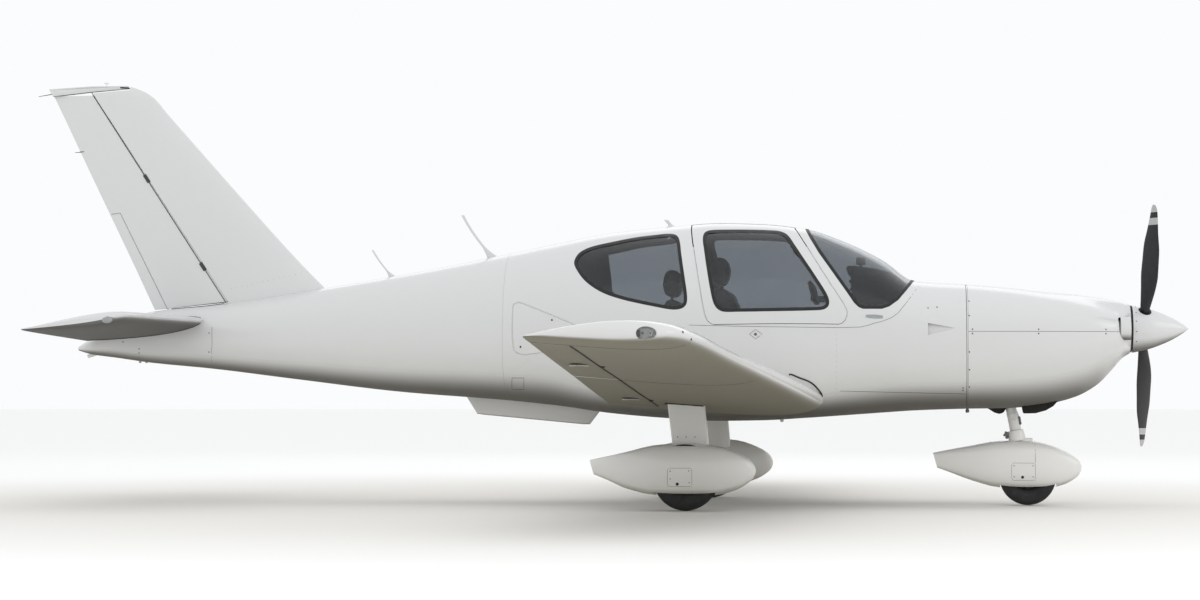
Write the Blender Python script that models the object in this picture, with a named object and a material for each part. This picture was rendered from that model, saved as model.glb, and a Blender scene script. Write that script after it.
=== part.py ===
"""Light aircraft: low wing, fixed tricycle gear with spats, two-blade propeller,
gull-wing cabin doors, all-moving tailplane.

Axes: +X is the nose, +Y the left (port) side, +Z up. The ground is Z = 0 and the
middle of the overall length is X = 0. A station is a distance aft of the spinner's
tip, in metres, so X = NOSE_X - station.
"""

import math

import bmesh
import bpy
import numpy as np
from mathutils import Matrix, Vector

# Driving dimensions, in metres
LENGTH = 7.75
NOSE_X = LENGTH / 2
SEAT_GAP = 0.0003
PANEL_GAP = 0.007
WALL = 0.035
GLASS = 0.006
GLASS_INSET = 0.003
SKIN = 0.020
TAIL_SKIN = 0.012

COWL_SPLIT_Z = 1.138
FLOOR_Z = 0.76
SEAT_Y = 0.27
# side, name, distance that the seat is slid aft and down its sloping rails
FRONT_SEATS = ((1, "left", 0.360, 0.053), (-1, "right", 0.0, 0.0))
REAR_SEAT_HALF = 0.40
PROP_AXIS_Z = 1.165
RING_POINTS = 28

WHEEL_TRACK = 2.33
MAIN_WHEEL_STATION = 3.235
NOSE_WHEEL_STATION = 1.055
MAIN_TYRE_RADIUS = 0.205
MAIN_TYRE_WIDTH = 0.14
MAIN_AXLE_RADIUS = 0.018
NOSE_TYRE_RADIUS = 0.185
NOSE_TYRE_WIDTH = 0.125
NOSE_AXLE_RADIUS = 0.015
TYRE_GAP = 0.008

# Fuselage sections: station, top z, bottom z, half width, widest z,
# roundness of the upper half, roundness of the lower half, hump height, hump half width
FUSELAGE = (
    (0.385, 1.328, 1.003, 0.165, 1.165, 2.0, 2.0, 0.000, 0.16),
    (0.430, 1.343, 0.975, 0.270, 1.160, 2.2, 2.1, 0.050, 0.16),
    (0.500, 1.356, 0.897, 0.350, 1.150, 2.6, 2.2, 0.085, 0.18),
    (0.600, 1.374, 0.795, 0.405, 1.135, 2.8, 2.3, 0.065, 0.20),
    (0.750, 1.396, 0.713, 0.450, 1.120, 2.9, 2.5, 0.040, 0.24),
    (0.950, 1.415, 0.664, 0.490, 1.110, 2.9, 2.7, 0.022, 0.28),
    (1.200, 1.442, 0.641, 0.525, 1.100, 2.9, 2.9, 0.008, 0.32),
    (1.453, 1.462, 0.637, 0.555, 1.090, 2.9, 3.1, 0.000, 0.32),
    (1.790, 1.486, 0.626, 0.588, 1.090, 2.8, 3.2, 0.000, 0.32),
    (2.000, 1.627, 0.612, 0.605, 1.095, 2.6, 3.3, 0.000, 0.32),
    (2.250, 1.751, 0.594, 0.622, 1.100, 2.5, 3.8, 0.000, 0.32),
    (2.500, 1.838, 0.577, 0.634, 1.105, 2.4, 4.4, 0.000, 0.32),
    (2.800, 1.876, 0.560, 0.640, 1.110, 2.4, 4.6, 0.000, 0.32),
    (3.100, 1.885, 0.556, 0.640, 1.110, 2.4, 4.6, 0.000, 0.32),
    (3.400, 1.863, 0.572, 0.633, 1.110, 2.4, 4.5, 0.000, 0.32),
    (3.800, 1.824, 0.605, 0.602, 1.110, 2.4, 3.8, 0.000, 0.32),
    (4.200, 1.751, 0.660, 0.548, 1.105, 2.4, 2.8, 0.000, 0.32),
    (4.500, 1.690, 0.691, 0.495, 1.105, 2.4, 2.7, 0.000, 0.32),
    (5.250, 1.549, 0.749, 0.370, 1.110, 2.4, 2.5, 0.000, 0.32),
    (6.000, 1.428, 0.838, 0.262, 1.125, 2.4, 2.4, 0.000, 0.32),
    (6.600, 1.344, 0.912, 0.192, 1.135, 2.6, 2.4, 0.000, 0.32),
    (7.000, 1.304, 0.950, 0.160, 1.130, 2.8, 2.5, 0.000, 0.32),
    (7.250, 1.215, 0.985, 0.138, 1.110, 2.6, 2.5, 0.000, 0.32),
    (7.440, 1.115, 1.011, 0.100, 1.065, 2.4, 2.4, 0.000, 0.32),
    (7.520, 1.066, 1.034, 0.045, 1.050, 2.2, 2.2, 0.000, 0.32),
)
COWL_STATIONS = (0.385, 0.405, 0.43, 0.46, 0.50, 0.55, 0.62, 0.72, 0.86, 1.03, 1.23, 1.453)
CABIN_STATIONS = (1.465, 1.79, 1.90, 2.04, 2.22, 2.42, 2.62, 2.85, 3.10, 3.36, 3.70, 4.10, 4.50)
TAIL_STATIONS = (4.52, 5.10, 5.70, 6.20, 6.60, 7.00, 7.25, 7.40, 7.48, 7.52)

# Side outlines as station, z
DOOR_BOTTOM_Z = 1.183
DOOR_FRONT_EDGE = (
    (2.290, 1.183), (2.262, 1.193), (2.240, 1.214), (2.228, 1.246), (2.237, 1.289), (2.262, 1.332),
    (2.376, 1.507), (2.474, 1.665), (2.546, 1.780), (2.579, 1.830), (2.620, 1.900),
)
DOOR_AFT_EDGE = (
    (3.085, 1.183), (3.112, 1.190), (3.136, 1.210), (3.152, 1.249), (3.165, 1.306), (3.186, 1.422),
    (3.215, 1.578), (3.242, 1.719), (3.260, 1.804), (3.275, 1.900),
)
DOOR_HINGE_Y = 0.17
DOOR_HINGE_STATIONS = (2.72, 3.12)
DOOR_WINDOW = (
    (3.180, 1.757), (3.172, 1.800), (3.138, 1.818), (3.042, 1.822), (2.867, 1.821), (2.712, 1.815),
    (2.663, 1.805), (2.622, 1.779), (2.571, 1.706), (2.414, 1.468), (2.366, 1.390), (2.347, 1.342),
    (2.351, 1.304), (2.378, 1.282), (2.432, 1.275), (2.755, 1.269), (2.945, 1.267), (3.031, 1.268),
    (3.070, 1.287), (3.095, 1.325), (3.115, 1.402), (3.141, 1.539), (3.166, 1.678),
)
QUARTER_WINDOW = (
    (4.030, 1.600), (4.013, 1.657), (3.975, 1.690), (3.915, 1.715), (3.800, 1.741), (3.640, 1.773),
    (3.490, 1.791), (3.402, 1.797), (3.355, 1.782), (3.332, 1.741), (3.316, 1.659), (3.277, 1.442),
    (3.267, 1.365), (3.271, 1.322), (3.290, 1.297), (3.328, 1.284), (3.377, 1.284), (3.464, 1.300),
    (3.580, 1.324), (3.690, 1.350), (3.796, 1.384), (3.876, 1.424), (3.947, 1.477), (3.996, 1.535),
)
WINDSCREEN = (
    (1.790, 1.500), (1.797, 1.480), (1.845, 1.412), (1.902, 1.342), (1.959, 1.300), (2.006, 1.284),
    (2.129, 1.284), (2.158, 1.296), (2.186, 1.323), (2.224, 1.380), (2.319, 1.516), (2.417, 1.656),
    (2.478, 1.759), (2.512, 1.823), (2.535, 1.900), (1.790, 1.900),
)
BAGGAGE_DOOR = (
    (4.430, 1.302), (4.418, 1.330), (4.377, 1.337), (3.800, 1.097), (3.770, 1.060), (3.800, 1.022),
    (4.243, 1.002), (4.376, 0.994), (4.423, 1.037),
)
BAGGAGE_HINGE_STATIONS = (4.28, 3.92)
BAGGAGE_DOOR_THICKNESS = 0.012

# Wing: spanwise y, leading edge station, trailing edge station, leading edge z, trailing edge z,
# thickness share of the chord
WING = (
    (0.420, 2.369, 3.782, 0.690, 0.660, 0.160),
    (0.620, 2.395, 3.780, 0.704, 0.676, 0.160),
    (1.600, 2.524, 3.774, 0.777, 0.752, 0.160),
    (2.600, 2.656, 3.767, 0.854, 0.832, 0.160),
    (3.600, 2.788, 3.761, 0.931, 0.910, 0.160),
    (4.600, 2.920, 3.754, 1.009, 0.989, 0.162),
    (4.760, 2.965, 3.752, 1.020, 1.001, 0.150),
    (4.850, 3.035, 3.748, 1.026, 1.010, 0.115),
    (4.885, 3.150, 3.735, 1.024, 1.013, 0.050),
)
WING_CAMBER = 0.02
HINGE_CHORD_SHARE = 0.765
FLAP_SPAN = (0.74, 2.63)
AILERON_SPAN = (2.65, 4.56)
WING_HINGE_YS = {"flap": (0.95, 1.70, 2.45), "aileron": (2.85, 3.60, 4.35)}
COVE_GAP = 0.006

# All-moving tailplane, at the trailing-edge-down rest of the photograph
TAILPLANE = (
    (0.205, 6.600, 7.444, 1.236, 1.103, 0.115),
    (0.900, 6.665, 7.432, 1.234, 1.121, 0.120),
    (1.480, 6.720, 7.420, 1.232, 1.136, 0.122),
    (1.560, 6.755, 7.414, 1.229, 1.139, 0.105),
    (1.600, 6.845, 7.405, 1.214, 1.143, 0.045),
)
TAILPLANE_ROOT_TAPER = 0.080
TAILPLANE_HINGE = (6.850, 1.196)
TAILPLANE_TUBE_RADIUS = 0.026

# Fin and rudder share horizontal sections: z, leading edge station, trailing edge station,
# half thickness
FIN = (
    (1.280, 5.618, 6.975, 0.066),
    (1.640, 5.980, 7.148, 0.058),
    (2.050, 6.357, 7.350, 0.050),
    (2.450, 6.716, 7.546, 0.042),
    (2.672, 6.915, 7.654, 0.037),
    (2.790, 7.020, 7.715, 0.033),
    (2.836, 7.100, 7.725, 0.026),
    (2.866, 7.190, 7.735, 0.014),
)
RUDDER_AXIS = ((6.484, 1.360), (7.464, 2.830))
RUDDER_TOP = 2.800
RUDDER_HINGE_ZS = (1.56, 2.02, 2.46)
HORN = ((7.186, 2.845), (7.446, 2.826), (7.721, 2.798), (7.750, 2.848), (7.45, 2.865), (7.19, 2.866))

KEEL = ((4.831, 0.740), (4.744, 0.603), (4.700, 0.596), (4.020, 0.532), (3.975, 0.532), (3.893, 0.640))

# Propeller
PROP_STATION = 0.262
PROP_TILT_DEG = 33.7
HUB_RADIUS = 0.0615
SPINNER = (
    (0.0, 0.0), (0.030, 0.025), (0.065, 0.048), (0.106, 0.072),
    (0.183, 0.107), (0.261, 0.135), (0.362, 0.157),
)
# radius, chord, thickness, blade angle from the disc in degrees
BLADE = (
    (0.062, 0.052, 0.052, 68),
    (0.150, 0.062, 0.050, 68),
    (0.220, 0.078, 0.034, 68),
    (0.320, 0.102, 0.024, 64),
    (0.440, 0.127, 0.018, 53),
    (0.600, 0.128, 0.014, 47),
    (0.750, 0.092, 0.011, 43),
    (0.860, 0.068, 0.009, 38),
    (0.922, 0.048, 0.007, 36),
    (0.940, 0.022, 0.005, 35),
)

NOSE_LEG_TOP = (1.203, 0.850)
NOSE_LEG_BOTTOM = (1.060, 0.117)
NOSE_LEG_RADIUS = 0.036
NOSE_COLLAR_TOP = 0.495

# Spats: station from the wheel's axis, half width, z of the upper line, z of the lower line
MAIN_SPAT = (
    (-0.440, 0.012, 0.262, 0.240),
    (-0.428, 0.038, 0.292, 0.208),
    (-0.395, 0.064, 0.326, 0.176),
    (-0.320, 0.096, 0.366, 0.132),
    (-0.190, 0.122, 0.408, 0.098),
    (0.000, 0.130, 0.424, 0.093),
    (0.190, 0.122, 0.412, 0.098),
    (0.360, 0.096, 0.372, 0.134),
    (0.500, 0.062, 0.340, 0.188),
    (0.605, 0.030, 0.318, 0.226),
)
NOSE_SPAT = (
    (-0.352, 0.012, 0.262, 0.240),
    (-0.340, 0.036, 0.290, 0.208),
    (-0.310, 0.056, 0.318, 0.178),
    (-0.235, 0.084, 0.362, 0.136),
    (-0.110, 0.112, 0.410, 0.110),
    (0.030, 0.118, 0.428, 0.106),
    (0.200, 0.112, 0.424, 0.118),
    (0.360, 0.084, 0.396, 0.160),
    (0.500, 0.054, 0.370, 0.206),
    (0.622, 0.026, 0.345, 0.246),
)

# Aerials: name, base station, base z, tip station, tip z, chord at the base
ANTENNAS = (
    ("antenna_roof", 3.410, 1.868, 3.452, 1.907, 0.050),
    ("antenna_mast_front", 4.640, 1.665, 4.847, 1.952, 0.085),
    ("antenna_mast_rear", 5.330, 1.535, 5.469, 1.718, 0.060),
)
EXHAUST = ((1.099, 0.661), (1.087, 0.606), (1.008, 0.608), (0.892, 0.655), (0.853, 0.700), (1.099, 0.700))
EXHAUST_Y = -0.12

PAINT = (0.86, 0.86, 0.84)
COLOURS = {
    # name: base colour, roughness, metallic
    "white_paint": (PAINT, 0.25, 0.0),
    "tinted_glass": ((0.10, 0.12, 0.14), 0.08, 0.0),
    "charcoal_paint": ((0.045, 0.048, 0.052), 0.45, 0.0),
    "black_leather": ((0.03, 0.03, 0.035), 0.55, 0.0),
    "tyre_rubber": ((0.02, 0.02, 0.022), 0.80, 0.0),
    "bare_aluminium": ((0.62, 0.62, 0.62), 0.35, 1.0),
    "steel": ((0.35, 0.35, 0.36), 0.40, 1.0),
    "black_plastic": ((0.03, 0.03, 0.03), 0.50, 0.0),
    "soot_black": ((0.02, 0.02, 0.02), 0.75, 0.3),
    "cast_grey": ((0.25, 0.25, 0.25), 0.60, 0.6),
}


def clear_scene():
    for old in list(bpy.data.objects):
        bpy.data.objects.remove(old, do_unlink=True)


def collection(name):
    made = bpy.data.collections.new(name)
    bpy.context.scene.collection.children.link(made)
    return made


clear_scene()
AIRCRAFT = collection("light_aircraft")
CUTTERS = collection("cutters")
MATERIALS = {}


def material(name):
    if name not in MATERIALS:
        colour, roughness, metallic = COLOURS[name]
        made = bpy.data.materials.new(name)
        made.use_nodes = True
        shader = made.node_tree.nodes["Principled BSDF"]
        shader.inputs["Base Color"].default_value = (*colour, 1.0)
        shader.inputs["Roughness"].default_value = roughness
        shader.inputs["Metallic"].default_value = metallic
        MATERIALS[name] = made
    return MATERIALS[name]


def add_object(name, mesh, material_name=None):
    """A part when it has a material, or else a cutter that the build leaves out."""
    made = bpy.data.objects.new(name, mesh)
    if material_name:
        AIRCRAFT.objects.link(made)
        mesh.materials.append(material(material_name))
    else:
        CUTTERS.objects.link(made)
        made.hide_render = True
        made.display_type = "WIRE"
    return made


def finish_mesh(name, mesh_data, material_name=None, smooth_deg=35):
    bmesh.ops.recalc_face_normals(mesh_data, faces=mesh_data.faces)
    mesh = bpy.data.meshes.new(name)
    mesh_data.to_mesh(mesh)
    mesh_data.free()
    mesh.shade_smooth()
    mesh.set_sharp_from_angle(angle=math.radians(smooth_deg))
    return add_object(name, mesh, material_name)


def skin_rows(shape, rows):
    """Triangles between rings. The two halves of a ring get mirrored diagonals, so that
    skins of neighbouring parts through the same rings lie on each other exactly."""
    count = len(rows[0])
    for near, far in zip(rows, rows[1:]):
        for i in range(count):
            j = (i + 1) % count
            if i < count / 2:
                shape.faces.new((near[i], near[j], far[j]))
                shape.faces.new((near[i], far[j], far[i]))
            else:
                shape.faces.new((near[i], near[j], far[i]))
                shape.faces.new((near[j], far[j], far[i]))


def loft(name, rings, material_name=None):
    """A closed solid through rings with the same number of points, capped at both ends."""
    shape = bmesh.new()
    rows = [[shape.verts.new(point) for point in ring] for ring in rings]
    skin_rows(shape, rows)
    shape.faces.new(rows[0])
    shape.faces.new(rows[-1])
    return finish_mesh(name, shape, material_name)


def tube(name, outer_rings, inner_rings, material_name, close_end=False):
    """A wall between an outer and an inner skin, open at the front and, unless
    close_end is set, at the back."""
    shape = bmesh.new()
    outer = [[shape.verts.new(point) for point in ring] for ring in outer_rings]
    inner = [[shape.verts.new(point) for point in ring] for ring in inner_rings]
    count = len(outer[0])
    skin_rows(shape, outer)
    skin_rows(shape, inner)
    for i in range(count):
        j = (i + 1) % count
        shape.faces.new((outer[0][i], outer[0][j], inner[0][j], inner[0][i]))
        if not close_end:
            shape.faces.new((outer[-1][i], outer[-1][j], inner[-1][j], inner[-1][i]))
    if close_end:
        shape.faces.new(outer[-1])
        shape.faces.new(inner[-1])
    return finish_mesh(name, shape, material_name)


def box(name, low, high, material_name=None):
    shape = bmesh.new()
    bmesh.ops.create_cube(shape, size=1.0)
    size = Vector(high) - Vector(low)
    middle = (Vector(high) + Vector(low)) / 2
    bmesh.ops.scale(shape, vec=size, verts=shape.verts)
    bmesh.ops.translate(shape, vec=middle, verts=shape.verts)
    return finish_mesh(name, shape, material_name)


def rod(name, start, end, radius, material_name=None, sides=24, end_radius=None):
    """A cylinder or cone from start to end."""
    start, end = Vector(start), Vector(end)
    along = end - start
    shape = bmesh.new()
    bmesh.ops.create_cone(
        shape, cap_ends=True, segments=sides, radius1=radius,
        radius2=radius if end_radius is None else end_radius, depth=along.length)
    turn = along.to_track_quat("Z", "Y").to_matrix().to_4x4()
    place = Matrix.Translation((start + end) / 2) @ turn
    bmesh.ops.transform(shape, matrix=place, verts=shape.verts)
    return finish_mesh(name, shape, material_name)


def prism(name, outline, y_low, y_high, material_name=None):
    """A side outline of station and z, extruded from y_low to y_high."""
    rings = [[at(station, y, z) for station, z in outline] for y in (y_low, y_high)]
    return loft(name, rings, material_name)


def turned(name, profile, centre, axis, material_name=None, sides=32):
    """A closed profile of distance along the axis and radius, turned about it."""
    along = Vector(axis).normalized()
    across = along.orthogonal().normalized()
    up = along.cross(across)
    shape = bmesh.new()
    rows = []
    for i in range(sides):
        angle = 2 * math.pi * i / sides
        spoke = across * math.cos(angle) + up * math.sin(angle)
        rows.append([shape.verts.new(Vector(centre) + along * x + spoke * r) for x, r in profile])
    count = len(profile)
    on_axis = profile[0][1] == 0 and profile[-1][1] == 0
    for i in range(sides):
        near, far = rows[i], rows[(i + 1) % sides]
        for a in range(count - 1 if on_axis else count):
            b = (a + 1) % count
            shape.faces.new((near[a], near[b], far[b], far[a]))
    bmesh.ops.remove_doubles(shape, verts=shape.verts, dist=1e-6)
    return finish_mesh(name, shape, material_name)


def boolean(target, other, operation):
    change = target.modifiers.new(operation.lower() + "_" + other.name, "BOOLEAN")
    change.operation = operation
    change.solver = "EXACT"
    change.object = other
    return target


def cut(target, *cutters):
    for cutter in cutters:
        boolean(target, cutter, "DIFFERENCE")


def keep_inside(target, cutter):
    boolean(target, cutter, "INTERSECT")


def fuse(target, *pieces):
    for piece in pieces:
        boolean(target, piece, "UNION")


def at(station, y, z):
    return Vector((NOSE_X - station, y, z))


def monotone(table, station):
    """Row of a table at a station, on monotone cubic curves through its rows."""
    rows = np.asarray(table, dtype=float)
    xs = rows[:, 0]
    station = min(max(station, xs[0]), xs[-1])
    k = min(int(np.searchsorted(xs, station, side="right")) - 1, len(xs) - 2)
    widths = np.diff(xs)
    slopes = np.diff(rows, axis=0) / widths[:, None]

    def tangent(i):
        if i == 0:
            return slopes[0]
        if i == len(xs) - 1:
            return slopes[-1]
        before, after = slopes[i - 1], slopes[i]
        near, far = 2 * widths[i] + widths[i - 1], widths[i] + 2 * widths[i - 1]
        same_way = before * after > 0
        safe_before = np.where(same_way, before, 1.0)
        safe_after = np.where(same_way, after, 1.0)
        return np.where(same_way, (near + far) / (near / safe_before + far / safe_after), 0.0)

    h = widths[k]
    t = (station - xs[k]) / h
    start_weight = (1 + 2 * t) * (1 - t) ** 2
    return (start_weight * rows[k] + (1 - start_weight) * rows[k + 1]
            + h * t * (1 - t) ** 2 * tangent(k) - h * t * t * (1 - t) * tangent(k + 1))


def fuselage_row(station):
    return monotone(FUSELAGE, station)


def fuselage_ring(station, inset=0.0, floor=None):
    """Points round the fuselage at a station, moved in by inset, with an optional flat floor."""
    _, top, bottom, half, widest, round_up, round_low, hump, hump_half = fuselage_row(station)
    points = []
    for i in range(RING_POINTS):
        angle = 2 * math.pi * i / RING_POINTS
        up, side = math.cos(angle), math.sin(angle)
        power = 2 / (round_up if up >= 0 else round_low)
        height = (top - hump - widest) if up >= 0 else (widest - bottom)
        y = half * math.copysign(abs(side) ** power, side)
        z = widest + height * math.copysign(abs(up) ** power, up)
        if up > 0 and hump:
            z += hump * math.exp(-(y / hump_half) ** 2 * 1.6)
        points.append(Vector((y, z)))
    if inset:
        moved = []
        for i, point in enumerate(points):
            edge = points[(i + 1) % RING_POINTS] - points[i - 1]
            normal = Vector((edge.y, -edge.x)).normalized()
            moved.append(point + normal * inset)
        points = moved
    if floor is not None:
        points = [Vector((p.x, max(p.y, floor))) for p in points]
    return [at(station, p.x, p.y) for p in points]


def skin_y(station, z):
    """Half width of the fuselage's outer skin at a height."""
    _, top, bottom, half, widest, round_up, round_low, hump, _ = fuselage_row(station)
    above = z >= widest
    height = (top - hump - widest) if above else (widest - bottom)
    power = round_up if above else round_low
    share = min(abs(z - widest) / height, 1.0)
    return half * (1 - share ** power) ** (1 / power)


def skin_z(station, y):
    """Height of the fuselage's upper skin at a distance from the middle."""
    _, top, _, half, widest, round_up, _, hump, hump_half = fuselage_row(station)
    share = min(abs(y) / half, 1.0)
    return (widest + (top - hump - widest) * (1 - share ** round_up) ** (1 / round_up)
            + hump * math.exp(-(y / hump_half) ** 2 * 1.6))


def grown(outline, distance):
    """A closed outline moved outwards by a distance; inwards when it is negative."""
    points = [Vector(p) for p in outline]
    count = len(points)
    area = sum(points[i - 1].x * points[i].y - points[i].x * points[i - 1].y for i in range(count))
    turn = 1.0 if area > 0 else -1.0
    moved = []
    for i in range(count):
        before = (points[i] - points[i - 1]).normalized()
        after = (points[(i + 1) % count] - points[i]).normalized()
        out = Vector((before.y + after.y, -(before.x + after.x))) * turn
        out.normalize()
        share = max(out.dot(Vector((before.y, -before.x)) * turn), 0.5)
        moved.append(points[i] + out * (distance / share))
    return [tuple(p) for p in moved]


def edge_station(edge, z):
    """Station of a door edge at a height."""
    heights = [p[1] for p in edge]
    return float(np.interp(z, heights, [p[0] for p in edge]))


def fuselage_rings(stations, inset=0.0, floor=None):
    return [fuselage_ring(station, inset, floor(station) if floor else None) for station in stations]


def make_envelope():
    """Outer skin of the whole fuselage, a seating gap larger, to trim what stands on it."""
    stations = COWL_STATIONS + CABIN_STATIONS + TAIL_STATIONS
    return loft("fuselage_envelope", fuselage_rings(stations, -SEAT_GAP))


def cabin_floor(station):
    return max(FLOOR_Z, fuselage_row(station)[2] + 0.09)


def door_hinge(side):
    """The two points that a gull-wing door's hinge axis passes through."""
    return [at(s, side * DOOR_HINGE_Y, skin_z(s, DOOR_HINGE_Y) + 0.006) for s in DOOR_HINGE_STATIONS]


def door_block(name, side, grow):
    """The space of a door through the wall. Its edges follow the door's own swing about
    the hinge, so the door leaves its opening freely. grow is half the gap round it."""
    start, end = door_hinge(side)
    axis = (end - start).normalized()
    edge_gap = 0.0065 - grow - PANEL_GAP / 2
    levels = [("y", DOOR_HINGE_Y + edge_gap if grow < 0 else DOOR_HINGE_Y - 0.0065)]
    levels += [("y", 0.24), ("y", 0.32)]
    levels += [("z", z) for z in (1.765, 1.70, 1.60, 1.48, 1.36, 1.275, 1.225, 1.20)]
    levels += [("z", DOOR_BOTTOM_Z - grow)]
    rings = []
    for kind, value in levels:
        ring_out, ring_in = [], []
        for edge, sign in ((DOOR_FRONT_EDGE, -1), (DOOR_AFT_EDGE, 1)):
            station = edge[3][0]
            for _ in range(4):
                y, z = (value, skin_z(station, value)) if kind == "y" else (skin_y(station, value), value)
                station = edge_station(edge, z)
            skin = at(station + sign * grow, side * y, z)
            spoke = skin - start
            spoke -= axis * spoke.dot(axis)
            swing = spoke.normalized().cross(axis)
            if swing.z * 1.0 + swing.y * side < 0:
                swing.negate()
            if kind == "y" and value < 0.2:
                swing = Vector((0, 0, 1))
            ring_out.append(skin + swing * 0.07)
            ring_in.append(skin - swing * 0.09)
        rings.append([ring_out[0], ring_out[1], ring_in[1], ring_in[0]])
    return loft(name, rings)


def knuckles(name, point, axis, ways, radius, width, depth, gap=0.001):
    """A butt hinge at a point: two fixed knuckles and one moving knuckle between them,
    each with a flat web that goes its own way. Returns the solids to fuse."""
    axis = axis.normalized()
    pieces = {"fixed": [], "moving": []}
    spans = (("fixed", -1.5, -0.5), ("moving", -0.5, 0.5), ("fixed", 0.5, 1.5))
    for i, (kind, low, high) in enumerate(spans):
        low, high = low * width, high * width
        if kind == "moving":
            low, high = low + gap, high - gap
        barrel = rod(f"{name}_barrel_{i}", point + axis * low, point + axis * high, radius, sides=12)
        way = ways[kind]
        out = axis.cross(way).normalized()
        corners = []
        for a in (low, high):
            ring = []
            for reach, drop in ((0.0, -1), (depth, -1), (depth, 1), (0.0, 1)):
                ring.append(point + axis * a + way * reach + out * (drop * radius * 0.96))
            corners.append(ring)
        web = loft(f"{name}_web_{i}", corners)
        fuse(barrel, web)
        pieces[kind].append(barrel)
    return pieces


def make_fuselage(envelope):
    shell = tube(
        "cabin_shell",
        fuselage_rings(CABIN_STATIONS),
        fuselage_rings(CABIN_STATIONS, WALL, cabin_floor),
        "white_paint")
    openings = prism("windscreen_opening", WINDSCREEN, -0.9, 0.9)
    cut(shell, openings)

    screen = tube("windscreen", fuselage_rings(CABIN_STATIONS[:7], GLASS_INSET),
                  fuselage_rings(CABIN_STATIONS[:7], GLASS_INSET + GLASS), "tinted_glass")
    keep_inside(screen, prism("windscreen_outline", grown(WINDSCREEN, -SEAT_GAP), -0.89, 0.89))

    for side, word in ((1, "left"), (-1, "right")):
        low, high = sorted((side * 0.2, side * 0.9))
        cut(shell, prism(f"quarter_opening_{word}", QUARTER_WINDOW, low, high))
        glass = tube(f"quarter_window_{word}", fuselage_rings(CABIN_STATIONS[8:12], GLASS_INSET),
                     fuselage_rings(CABIN_STATIONS[8:12], GLASS_INSET + GLASS), "tinted_glass")
        keep_inside(glass, prism(f"quarter_outline_{word}", grown(QUARTER_WINDOW, -SEAT_GAP), low, high))
        make_door(shell, side, word)
    make_baggage_door(shell)

    tail = tube(
        "tail_cone",
        fuselage_rings(TAIL_STATIONS),
        fuselage_rings(TAIL_STATIONS[:6] + (7.12,), TAIL_SKIN),
        "white_paint", close_end=True)
    tube_gap = (TAILPLANE_TUBE_RADIUS + SEAT_GAP) / math.cos(math.pi / 24)
    station, z = TAILPLANE_HINGE
    cut(tail, rod("tailplane_bearing", at(station, -0.3, z), at(station, 0.3, z), tube_gap))

    bulkhead = (CABIN_STATIONS[-1] + SEAT_GAP, TAIL_STATIONS[0] - SEAT_GAP)
    loft("rear_bulkhead", fuselage_rings(bulkhead), "white_paint")
    firewall = (COWL_STATIONS[-1] + SEAT_GAP, CABIN_STATIONS[0] - SEAT_GAP)
    loft("firewall", fuselage_rings(firewall), "bare_aluminium")
    return shell


def make_door(shell, side, word):
    cut(shell, door_block(f"door_opening_{word}", side, PANEL_GAP / 2))
    stations = CABIN_STATIONS[3:10]
    door = tube(f"door_{word}", fuselage_rings(stations, 0.0), fuselage_rings(stations, WALL), "white_paint")
    keep_inside(door, door_block(f"door_outline_{word}", side, -PANEL_GAP / 2))
    low, high = sorted((side * 0.2, side * 0.9))
    cut(door, prism(f"door_window_opening_{word}", DOOR_WINDOW, low, high))
    glass = tube(f"door_glass_{word}", fuselage_rings(stations, GLASS_INSET),
                 fuselage_rings(stations, GLASS_INSET + GLASS), "tinted_glass")
    keep_inside(glass, prism(f"door_glass_outline_{word}", grown(DOOR_WINDOW, -SEAT_GAP), low, high))
    start, end = door_hinge(side)
    for i, point in enumerate((start, end)):
        ways = {"fixed": Vector((0, -side, -0.35)).normalized(),
                "moving": Vector((0, side, -0.50)).normalized()}
        hinge = knuckles(f"door_hinge_{word}_{i}", point, end - start, ways, 0.005, 0.05, 0.034)
        fuse(shell, *hinge["fixed"])
        fuse(door, *hinge["moving"])
    carry(f"axis_door_{word}", start.lerp(end, 0.5), door, glass)


def baggage_hinge():
    """Two points of the hinge axis along the baggage door's slanting upper edge."""
    upper, lower = BAGGAGE_DOOR[2], BAGGAGE_DOOR[3]
    points = []
    for station in BAGGAGE_HINGE_STATIONS:
        z = float(np.interp(station, (lower[0], upper[0]), (lower[1], upper[1])))
        points.append(at(station, -skin_y(station, z) - 0.004, z))
    return points


def make_baggage_door(shell):
    cut(shell, prism("baggage_opening", grown(BAGGAGE_DOOR, PANEL_GAP / 2), -0.9, -0.2))
    stations = CABIN_STATIONS[10:]
    door = tube("baggage_door", fuselage_rings(stations, 0.0),
                fuselage_rings(stations, BAGGAGE_DOOR_THICKNESS), "white_paint")
    keep_inside(door, prism("baggage_outline", grown(BAGGAGE_DOOR, -PANEL_GAP / 2), -0.9, -0.2))
    start, end = baggage_hinge()
    axis = (end - start).normalized()
    up_skin = axis.cross(Vector((0, 1, 0))).normalized()
    if up_skin.z < 0:
        up_skin.negate()
    ways = {"fixed": (up_skin + Vector((0, 0.60, 0))).normalized(),
            "moving": (Vector((0, 0.60, 0)) - up_skin).normalized()}
    for i, point in enumerate((start, end)):
        hinge = knuckles(f"baggage_hinge_{i}", point, axis, ways, 0.004, 0.04, 0.018)
        fuse(shell, *hinge["fixed"])
        fuse(door, *hinge["moving"])
    carry("axis_baggage_door", start.lerp(end, 0.5), door)


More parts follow.
